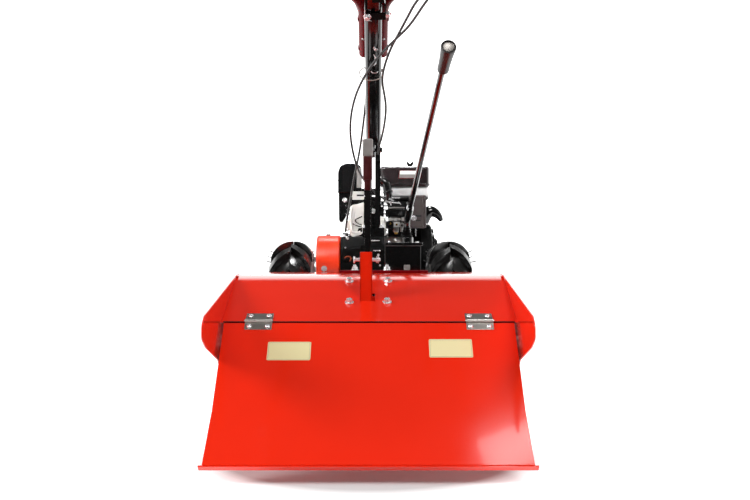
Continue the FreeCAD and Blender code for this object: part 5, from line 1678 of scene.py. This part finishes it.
@dataclass
class DriveTrain:
    """The black castings between the wheels, the selector with its lever, and the belt's cover."""

    rib_gap: float = 26.0

    def gearbox(self) -> None:
        """The gearbox casting with its ribs, bolts and a loose cable end, and two zinc strips as painted
        highlights.
        """
        box = Extent.of("gearbox_case")
        low, high = box.low, box.high
        right = low.x + 115
        shape = Shape().copy_of("gearbox_case", 2.5, 3)
        for order in range(4):
            height = low.z + 24 + self.rib_gap * order
            for near, far in ((low.x + 6, low.x + 46), (right - 50, right - 6)):
                shape.block((near, low.y + 4, height), (far, low.y + 10, height + 4), bevel=1.6)
        shape.finish("gearbox_casting", SATIN_CAST, "gearbox_case", smooth=38)
        bolts = Shape()
        for height in (0.12, 0.36, 0.6, 0.82):
            bolts.screw(box.at(0, 0, height) + xyz(64, 3.5, 0), X, 8, reach=2)
        cover = xyz(right + 9, forward_of_axle(18), 340)
        for _, spot in around(6, 30):
            bolts.screw(cover + spot * 29, X, 8)
        bolts.bolt(xyz(low.x + 10, low.y + 6, high.z - 12), Z, 8)
        bolts.screw(xyz(low.x + 18, low.y + 3, high.z - 16), -Y, 8)
        for across, up, width in ((37, 112, 5), (99, 118, 7), (103, 91, 5), (13, 137, 4)):
            bolts.screw(low + xyz(across, 1, up), -Y, width, about=across)
        # Two thin zinc strips on the black casting: painted highlights.
        for across, up, length in ((85, 128, 19), (80, 154, 22)):
            bolts.block(low + xyz(across, -4, up), low + xyz(across + length, 1, up + 3), bevel=0.8)
        bolts.finish("gearbox_bolts_and_painted_glints", ZINC)
        wires = Shape().wire([low + Vector(place) for place in ((11, -4, 110), (14, -8, 114),
            (22, -8, 115), (28, -6, 112), (27, -6, 105), (24, -4, 102))], 1.6)
        wires.finish("gearbox_cable_end", RUST_WIRE)

    def axle(self) -> None:
        """The axle casting with its seals, and the drive casting that runs back to the rotor."""
        for part in ("axle", "drive"):
            Shape().copy_of(f"{part}_case", 3.0, 3).finish(f"{part}_casting", BLACK_CAST, f"{part}_case",
                smooth=38)
        rotor = joint_point("rotor_spin")
        case = Extent.of("drive_case")
        bolts = Shape()
        for side in SIDES.values():
            hub = xyz(side * case.high.x, rotor.y, rotor.z)
            for order, spot in around(6):
                bolts.bolt(hub + spot * 45, X * side, 9, about=15 * order)
            for along, height in ((-84, 192), (-84, 280), (-140, 286), (-250, 236), (-340, 238)):
                bolts.screw(xyz(side * case.high.x, forward_of_axle(along), height), X * side, 9)
        axle = Extent.of("wheel_axle").middle
        for side in SIDES.values():
            for _, spot in around(6, 30):
                bolts.screw(xyz(side * 62, axle.y, axle.z) + spot * 52, X * side, 9)
        bolts.finish("drive_bolts", ZINC)

    def selector(self) -> None:
        """The selector housing with its lid's screws, a plug and the lever's rubber boot."""
        box = Extent.of("selector_box")
        low, high = box.low, box.high
        Shape().copy_of("selector_box", 1.8, 3).finish("selector_housing", BLACK_GLOSS, "selector_box",
            smooth=38)
        lid = high.z - 14
        bolts = Shape()
        for across, along in ((12, 14), (86, 14), (12, 110), (86, 110)):
            bolts.screw(xyz(low.x + across, low.y + along, lid), Z, 6)
        bolts.finish("selector_bolts", ZINC)
        plug = low + xyz(49, -4, 4)
        Shape().block(plug, plug + xyz(16, 8, 13), bevel=1.6, segments=3).finish("selector_plug",
            GREY_PLATE)
        lever = Extent.of("gear_lever")
        foot = xyz(lever.low.x + 6.5, lever.high.y - 6.5, lever.low.z)
        Shape().lathe([(7, 26), (8.5, 25), (8.5, 20), (10.5, 18), (9.5, 14), (13, 11), (12, 7), (15.5, 4),
            (15.5, 0), (7, 0)], foot, Z, steps=36, closed=True).finish("gear_lever_boot", SATIN_CAST)

    def lever_grip(self) -> None:
        """The flared grip of the gear lever, with a dished metal cap in its end."""
        box = Extent.of("gear_lever_grip")
        rod = Extent.of("gear_lever")
        start = xyz(box.low.x + 10, box.high.y - 4, box.low.z + 9)
        end = xyz(box.high.x - 13.5, box.low.y + 8.5, box.high.z - 13)
        aim = (end - xyz(rod.low.x + 6.5, rod.high.y - 6.5, 506)).normalized()
        length = (end - start).dot(aim)
        start = end - aim * length
        shape = Shape().lathe([(7, 0), (10.8, 0), (11.6, 1.2), (12, 6), (11.7, 9), (12.2, 30), (13.4, 55),
            (15, length - 5), (15.2, length - 2), (14.4, length), (12.6, length + 0.6),
            (11.8, length - 0.6), (11.6, length - 3), (0, length - 3)], start, aim, steps=48)
        shape.finish("gear_lever_soft_grip", SHEATH, "gear_lever_grip")
        Shape().lathe([(0, length - 2.2), (9.5, length - 2.4), (11.4, length - 1.2), (11.4, length - 3)],
            start, aim, steps=40).finish("gear_lever_cap", PEWTER_CAP)

    def belt_cover(self) -> None:
        """The moulded belt cover with its rounded edges, its bolts and a plug in its top."""
        box = Extent.of("belt_cover")
        low, high = box.low, box.high
        Shape().copy_of("belt_cover", 7.0, 4, least=60).finish("belt_cover_shell", RED_ABS, "belt_cover",
            smooth=42)
        bolts = Shape()
        for along, height in ((-70, 405), (285, 411)):
            bolts.bolt(xyz(low.x, forward_of_axle(along), height), -X, 13)
        bolts.bolt(xyz(low.x + 22, low.y + 1, 378), -Y, 10)
        bolts.finish("belt_cover_bolts", ZINC)
        knob = xyz(low.x + 30, low.y + 62, high.z - 5)
        Shape().rod(knob, knob + Z * 9, 5.5, bevel=1.2).finish("belt_cover_plug", PEWTER_CAP)

    def build(self) -> None:
        """Build the drive train."""
        self.gearbox()
        self.axle()
        self.selector()
        self.lever_grip()
        self.belt_cover()
        dress(BLACK_GLOSS, "gear_lever")
        dress(GROUND_STEEL, "wheel_axle")


@dataclass
class Chassis:
    """The frame rails, the engine's plate and the bumper hoop."""

    def rails(self) -> None:
        """Folded steel rails with their bolts, and the plate that the engine stands on."""
        for node, name, edge in (("frame_rails", "frame_rail_steel", 1.5), ("engine_plate", "engine_base",
                1.2)):
            Shape().copy_of(node, edge).finish(name, BLACK_GLOSS, node)
        rails, plate = Extent.of("frame_rails"), Extent.of("engine_plate")
        bolts = Shape()
        for side in SIDES.values():
            for share in (0.08, 0.35, 0.65, 0.93):
                bolts.bolt(rails.at(0, share, 0.6) * (Y + Z) + X * side * 77, X * side, 13,
                    about=30 * share)
        for across in (0.12, 0.88):
            for along in (0.1, 0.9):
                bolts.bolt(plate.at(across, along, 1.0), Z, 13, reach=4)
        bumper = Extent.of("front_bumper")
        for side in SIDES.values():
            bolts.bolt(xyz(side * 60, rails.high.y + 6, bumper.low.z + 26), Y, 13)
        bolts.finish("frame_bolts", ZINC)

    def build(self) -> None:
        """Build the frame."""
        self.rails()
        dress(BLACK_GLOSS, "front_bumper")


@dataclass
class Rotor:
    """The tine rotor: shaft, flanges and L-shaped blades with sharpened edges."""

    def build(self) -> None:
        """Dress the shaft, soften the blades' edges and bolt them to their flanges."""
        dress(GROUND_STEEL, "rotor_shaft")
        Shape().copy_of("tines", 1.4).finish("tine_blades", TINE_PAINT, "tines", body=Body.ROTOR)
        centre = joint_point("rotor_spin")
        bolts = Shape()
        for side in SIDES.values():
            for order, place in enumerate((72, 165, 258)):
                for blade in range(4):
                    out = side if blade % 2 or order == 0 else -side
                    for across in (-9, 9):
                        spot = turned(90 * blade + 22 * order, "X") @ xyz(0, across, 48)
                        at = centre + spot + X * (side * place)
                        bolts.bolt(at - X * out * 3.5, -X * out, 11.0, about=20 * blade)
        bolts.finish("tine_bolts", ZINC, body=Body.ROTOR)


@dataclass
class DepthStake:
    """The depth stake in its bracket, with its handle and the pin through both."""

    bracket_wall: float = 2.6

    def build(self) -> None:
        """Build the stake."""
        box = Extent.of("depth_bracket")
        low, high = xyz(-20.5, box.low.y, box.low.z), xyz(6.0, box.high.y, box.high.z)
        wall = self.bracket_wall
        bracket = Shape()
        for near in (low.y, high.y - wall):
            bracket.block((low.x, near, low.z), (high.x, near + wall, high.z), bevel=1)
        for across in (low.x, high.x - wall):
            bracket.block((across, low.y, low.z), (across + wall, high.y, high.z), bevel=1)
        bracket.block((box.low.x, high.y - 3, low.z + 4), (box.high.x, high.y, low.z + 30), bevel=0.8)
        bracket.finish("stake_bracket", POWDER_RED, "depth_bracket")
        Shape().copy_of("depth_stake", 2.8).finish("stake_bar", WET_BLACK, "depth_stake")
        box = Extent.of("stake_handle")
        low, high = box.low, box.high
        split = low.z + 74
        Shape().block((low.x, low.y, split), high, bevel=3, segments=3).finish("stake_grip_head",
            GREY_PLATE)
        shape = Shape().block((low.x + 1.5, low.y, low.z + 22), (high.x - 1.5, high.y, split + 1), bevel=3,
            segments=3)
        shape.block(low + xyz(4, 2, 0), xyz(high.x - 4, high.y - 2, low.z + 26), bevel=2.5)
        shape.finish("stake_grip", OXBLOOD, "stake_handle")
        pin = Extent.of("stake_pin")
        left, right = pin.at(0.0, 0.5, 0.5), pin.at(1.0, 0.5, 0.5)
        shape = Shape().rod(left, right, 3.9, sides=24, bevel=0.9).rod(left, left + X * 4, 7.5, bevel=1.2)
        shape.rod(right - X * 9, right - X * 7, 7.0, bevel=0.5)
        clip = right - X * 5
        turns = ((0, 9), (-5, 7), (-6, 0), (-3, -7), (4, -8), (6, 2), (2, 9))
        shape.wire([clip + xyz(0, along, up) for along, up in turns], 1.0)
        shape.finish("stake_cross_pin", ZINC, "stake_pin")


# ---- column and handlebar

# The column leans back over the machine, so its underside is the face that shows.
COLUMN = Slope(152.6, 0.0, "handlebar_tilt")


@dataclass
class Column:
    """The post on the gearbox and the leaning column: two tubes with a web, clamps and clips."""

    tube: float = 16.0
    apart: float = 24.0
    first: float = 34.0
    length: float = 640.0
    teeth: int = 24
    weld_spacing: int = 92

    def post(self) -> None:
        """The two straps and the shoe, their corners broken, with the pivot's nut and washers."""
        Shape().copy_of("column_post", 1.6, 3).finish("column_post_steel", BLACK_GLOSS, "column_post",
            smooth=38)
        pivot = joint_point("handlebar_tilt")
        bolts, heads = Shape(), Shape()
        for side in SIDES.values():
            heads.screw(pivot + X * side * 17.2, X * side, 12, about=12)
        heads.finish("column_pivot_nuts", BLACK_GLOSS)
        shoe = Extent.of("column_post")
        for across in (0.1, 0.9):
            for along in (0.3, 0.75):
                bolts.bolt(shoe.at(across, along, 0) + Z * 24, Z, 11, about=35 * across)
        bolts.finish("column_post_bolts", ZINC)

    def tubes(self) -> None:
        """The column's two tubes, the web, stitched welds and the toothed disc."""
        shape = Shape()
        place = COLUMN.place()
        half = self.tube / 2
        section = [(-half, -half), (-3, -half), (1.5, -7.2), (4.8, -5.0), (7.0, -1.6), (half, 3),
            (half, half), (-half, half)]
        turn = Matrix((X, -COLUMN.out, COLUMN.up)).transposed().to_4x4()
        shape.plate(section, self.length - self.first,
            Matrix.Translation(COLUMN.point(self.apart / 2, self.first)) @ turn, bevel=0.8)
        shape.mirrored(joint_point("handlebar_tilt").x)
        shape.block((-7, self.first, -4), (7, self.length - 2, 4), bevel=0.8, turn=place)
        shape.block((-4, 8, -13.5), (4, self.first + 18, 13.5), bevel=1, turn=place)
        for run in range(60, int(self.length) - 40, self.weld_spacing):
            for side in SIDES.values():
                bead = [COLUMN.point(side * 5.6, run + step * 4, 4.6 + 0.4 * (step % 2))
                    for step in range(8)]
                shape.wire(bead, 1.5, sides=1)
        outline = []
        for order in range(2 * self.teeth):
            radius, turn = 20.8 - 1.3 * (order % 2), math.pi / self.teeth * order
            outline.append((radius * math.cos(turn), radius * math.sin(turn)))
        shape.plate(outline, 8.0, placed(COLUMN.point(-4, 0), X), bevel=0.5)
        shape.finish("column_tubes", WET_BLACK, "column", body=Body.HANDLEBAR, smooth=38)

    def fittings(self) -> None:
        """The bolts, the clamp plate, the clip and the ring on the column's underside, and thin zinc lines
        on the clamp plate's edges as painted highlights.
        """
        metal = Shape()
        metal.bolt(COLUMN.point(6.5, 434, 4), COLUMN.out, 9.0, about=10)
        for across, rise in ((-13, 12), (31, 4)):
            metal.bolt(COLUMN.point(across, 552, rise), COLUMN.out, 11.5, about=across)
        metal.finish("column_bolts", ZINC, body=Body.HANDLEBAR)
        plate, place = Shape(), COLUMN.place(4, 566, 9)
        for low, high in (((-22, -26, 0), (24, -4, 3)), ((-22, -26, -12), (-19, 40, 3)),
                ((21, -4, -12), (24, 44, 3)), ((-6, 30, -2), (24, 44, 3))):
            plate.block(low, high, bevel=0.8, turn=place)
        plate.finish("column_clamp_plate", SATIN_CAST, body=Body.HANDLEBAR)
        edge = Shape()
        # The first four lines trace the clamp plate's edges and are painted highlights; the ring and the
        # clip are parts.
        for route, thick in ((((-18, 537), (-4, 537)), 0.8), (((-18, 539.5), (-4, 539.5)), 0.8),
                (((-18, 538), (-18, 575)), 0.8), (((0, 610), (24, 611), (26, 596)), 0.9)):
            edge.wire([COLUMN.point(*spot, 12) for spot in route], thick, smooth=False, sides=1)
        turns = [math.radians(24 * step + 170) for step in range(9)]
        edge.wire([COLUMN.point(3 + 8 * math.cos(a), 352 + 7 * math.sin(a), 7.5) for a in turns], 1.3)
        edge.wire([COLUMN.point(*spot) for spot in ((2, 412, 5), (7, 404, 8), (2, 394, 10), (8, 384, 8),
            (2, 372, 5))], 1.8)
        edge.finish("column_clips_and_painted_highlights", ZINC, body=Body.HANDLEBAR)

    def tie(self) -> None:
        """A loose nylon tie round the column and the cables, with its head."""
        turns = [math.radians(22.5 * order) for order in range(16)]
        loop = [COLUMN.point(-5 + 29.5 * math.cos(a), 334 + 9 * math.sin(a),
            -14.5 * math.sin(a)) for a in turns]
        shape = Shape().wire(loop, 1.3, closed=True)
        head = COLUMN.place(22, 338, -6)
        shape.block((-3, -3.4, -2.6), (3, 3.4, 2.6), bevel=0.8, turn=head)
        shape.finish("cable_tie", NYLON, body=Body.HANDLEBAR)

    def build(self) -> None:
        """Build the post and the column."""
        self.post()
        self.tubes()
        self.fittings()
        self.tie()


@dataclass
class Handlebar:
    """The two crimson arms with their clamp, soft grips, end plugs and hand levers."""

    grip_ribs: int = 13
    rib_spacing: float = 8.6
    grip_end: tuple[float, float, float] = (290.0, -1262.0, 1018.0)

    def arms(self) -> None:
        """The bent tubes, kept as they are, and the clamp with the bolts across both arms."""
        dress(CRIMSON, "handlebar_left", "handlebar_right")
        Shape().copy_of("arm_clamp", 0.8).finish("arm_clamp_block", BLACK_GLOSS, "arm_clamp",
            body=Body.HANDLEBAR)
        heads, rivets = Shape(), Shape()
        for side in SIDES.values():
            for run in (402, 505):
                heads.lathe([(0, 2.4), (4, 2.2), (6.5, 1.2), (7, 0), (0, 0)], COLUMN.point(side * 33.6,
                    run, -23), X * side, steps=24)
            rivets.lathe([(0, 1.5), (2.4, 1.2), (3.2, 0), (0, 0)], COLUMN.point(side * 24, 449, -9.6),
                COLUMN.out, steps=16)
        heads.finish("arm_clamp_heads", CRIMSON, body=Body.HANDLEBAR)
        rivets.finish("arm_rivets", ZINC, body=Body.HANDLEBAR)

    def grip(self, name: str) -> None:
        """A soft grip with an end flange, finger ribs and a domed plug.

        Args:
            name: left or right.
        """
        arm = Extent.of(f"handlebar_{name}")
        side = SIDES[name]
        across, along, up = self.grip_end
        tip = xyz(side * across, forward_of_axle(along), up)
        aim = (xyz(side * 284, forward_of_axle(-1010), arm.high.z - 14) - tip).normalized()
        end = tip - aim * 6
        profile = [(14.1, 0), (16.6, 0), (17.6, 1.2), (17.6, 4), (16.4, 6)]
        for order in range(self.grip_ribs):
            start = 9 + order * self.rib_spacing
            profile += [(15.8, start), (16.9, start + 1.8), (16.9, start + 5.0), (15.8, start + 6.8)]
        profile += [(16.2, 124), (19.5, 127), (20.5, 130), (19.5, 134), (16.5, 135), (14.1, 135)]
        Shape().lathe(profile, end, aim, steps=44, closed=True).finish(f"soft_grip_{name}", SOFT_GRIP,
            f"grip_{name}", body=Body.HANDLEBAR, smooth=45)
        Shape().lathe([(0, -1.6), (8, -1.2), (13, 0.4), (14, 3), (14, 8), (0, 8)], end, aim,
            steps=36).finish(f"grip_plug_{name}", BLACK_PP, body=Body.HANDLEBAR)

    def lever(self, name: str) -> None:
        """The hand lever: a split clamp with its screw, a pivot and a rounded blade.

        Args:
            name: left or right.
        """
        side = SIDES[name]
        shape = Shape().copy_of(f"clutch_lever_{name}", 1.2)
        shape.finish(f"hand_lever_{name}", BLACK_PP, f"clutch_lever_{name}", body=Body.HANDLEBAR)
        box = Extent.of(f"clutch_lever_{name}")
        centre = xyz(side * 286, box.high.y - 12, box.high.z - 36)
        bolts = Shape().bolt(centre + X * side * 7, X * side, 9)
        bolts.screw(centre - X * side * 7, -X * side, 7)
        bolts.screw(centre + xyz(0, 0, 30) + X * side * 17.5, X * side, 6)
        bolts.finish(f"hand_lever_screws_{name}", ZINC, body=Body.HANDLEBAR)

    def throttle(self) -> None:
        """The throttle's thumb wheel housing on the right arm."""
        box = Extent.of("handlebar_right")
        centre = xyz(283, forward_of_axle(-1026), box.high.z - 14)
        shape = Shape().lathe([(14.3, 0), (18.5, 0), (19.5, 1), (19.5, 15), (18.5, 16), (14.3, 16)],
            centre + Y * 8, -Y, steps=40, closed=True)
        shape.block(centre + xyz(-20, -8, -20), centre + xyz(4, 8, -10), bevel=3)
        shape.finish("throttle_clamp", BLACK_PP, body=Body.HANDLEBAR)

    def build(self) -> None:
        """Build the handlebar."""
        self.arms()
        for name in SIDES:
            self.grip(name)
            self.lever(name)
        self.throttle()


@dataclass(frozen=True)
class Cable:
    """A control cable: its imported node, its real length and its route's points, in metres."""

    node: str
    length: float
    route: tuple[tuple[float, float, float], ...]
    diameter: float = 0.0058

    def build(self) -> Object:
        """Lay the sheath along its route as one smooth curve.

        Returns:
            The sheath.
        """
        curve = bpy.data.curves.new(f"{self.node}_sheath", "CURVE")
        curve.dimensions, curve.bevel_depth, curve.bevel_resolution = "3D", self.diameter / 2, 4
        curve.use_fill_caps = True
        line = curve.splines.new("NURBS")
        line.points.add(len(self.route) - 1)
        for point, place in zip(line.points, self.route):
            point.co = (*place, 1.0)
        line.order_u, line.use_endpoint_u, line.resolution_u = 3, True, 8
        curve.materials.append(SHEATH.build())
        piece = add_object(f"{self.node}_sheath", curve)
        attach(piece, Body.HANDLEBAR.value)
        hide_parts(self.node)
        LOG.info("%s: %d route points", piece.name, len(self.route))
        return piece


CABLES = (Cable("clutch_cable_right", 1.086, ((0.286, -0.6615, 1.012), (0.26, -0.6019, 1),
    (0.228, -0.5369, 0.99), (0.196, -0.4619, 0.984), (0.162, -0.3869, 0.978), (0.128, -0.3119, 0.968),
    (0.099, -0.2419, 0.955), (0.083, -0.1869, 0.934), (0.061, -0.1219, 0.904), (0.048, -0.0899, 0.886),
    (0.034, -0.0269, 0.858), (0.028, 0.0261, 0.831), (0.036, 0.0831, 0.803), (0.04, 0.1331, 0.781),
    (0.037, 0.1931, 0.752), (0.03, 0.2531, 0.722), (0.021, 0.2911, 0.698), (0.0195, 0.3011, 0.681))),
    Cable("throttle_cable", 1.386, ((0.272, -0.6549, 1.018), (0.262, -0.6019, 1.01),
    (0.246, -0.5419, 1.006), (0.22, -0.4669, 1.001), (0.185, -0.3919, 0.99), (0.15, -0.3169, 0.974),
    (0.121, -0.2519, 0.9545), (0.09, -0.1669, 0.921), (0.062, -0.1369, 0.9), (0.036, -0.0909, 0.884),
    (0.005, -0.0319, 0.86), (-0.022, 0.0331, 0.828), (-0.04, 0.0981, 0.796), (-0.051, 0.1681, 0.755),
    (-0.052, 0.2481, 0.713), (-0.04, 0.3181, 0.657), (-0.018, 0.3781, 0.616), (0.003, 0.4281, 0.595),
    (0.022, 0.4711, 0.582), (0.04, 0.5051, 0.572), (0.051, 0.5261, 0.562), (0.052, 0.5341, 0.5436))),
    Cable("clutch_cable_left", 1.389, ((-0.286, -0.6615, 1.012), (-0.262, -0.6019, 1.018),
    (-0.228, -0.5319, 1.032), (-0.19, -0.4569, 1.048), (-0.15, -0.3869, 1.058), (-0.112, -0.3169, 1.047),
    (-0.075, -0.2469, 1.024), (-0.045, -0.1769, 0.998), (-0.025, -0.1069, 0.971), (-0.014, -0.0409, 0.942),
    (-0.01, 0.0191, 0.916), (-0.009, 0.0711, 0.872), (-0.009, 0.1211, 0.832), (-0.012, 0.1771, 0.797),
    (-0.018, 0.2411, 0.759), (-0.027, 0.3131, 0.705), (-0.037, 0.3531, 0.658), (-0.047, 0.3771, 0.614),
    (-0.054, 0.3911, 0.573), (-0.061, 0.4011, 0.537), (-0.068, 0.4091, 0.5), (-0.07, 0.4131, 0.477))),)


# ---- the whole machine

def main() -> None:
    """Dress the frame, build the pieces and set up the studio."""
    logging.basicConfig(level=logging.INFO, format="%(name)s %(message)s")
    for assembly in (Hood, Flap, DriveTrain, Chassis, Crankcase, Cylinder, FanSide, Tank, AirCleaner,
            Breathing, Rotor, DepthStake, Column, Handlebar):
        assembly().build()
    for name, side in SIDES.items():
        Wheel(name, side).build()
    for cable in CABLES:
        cable.build()
    Studio().build()


if __name__ == "__main__":
    main()
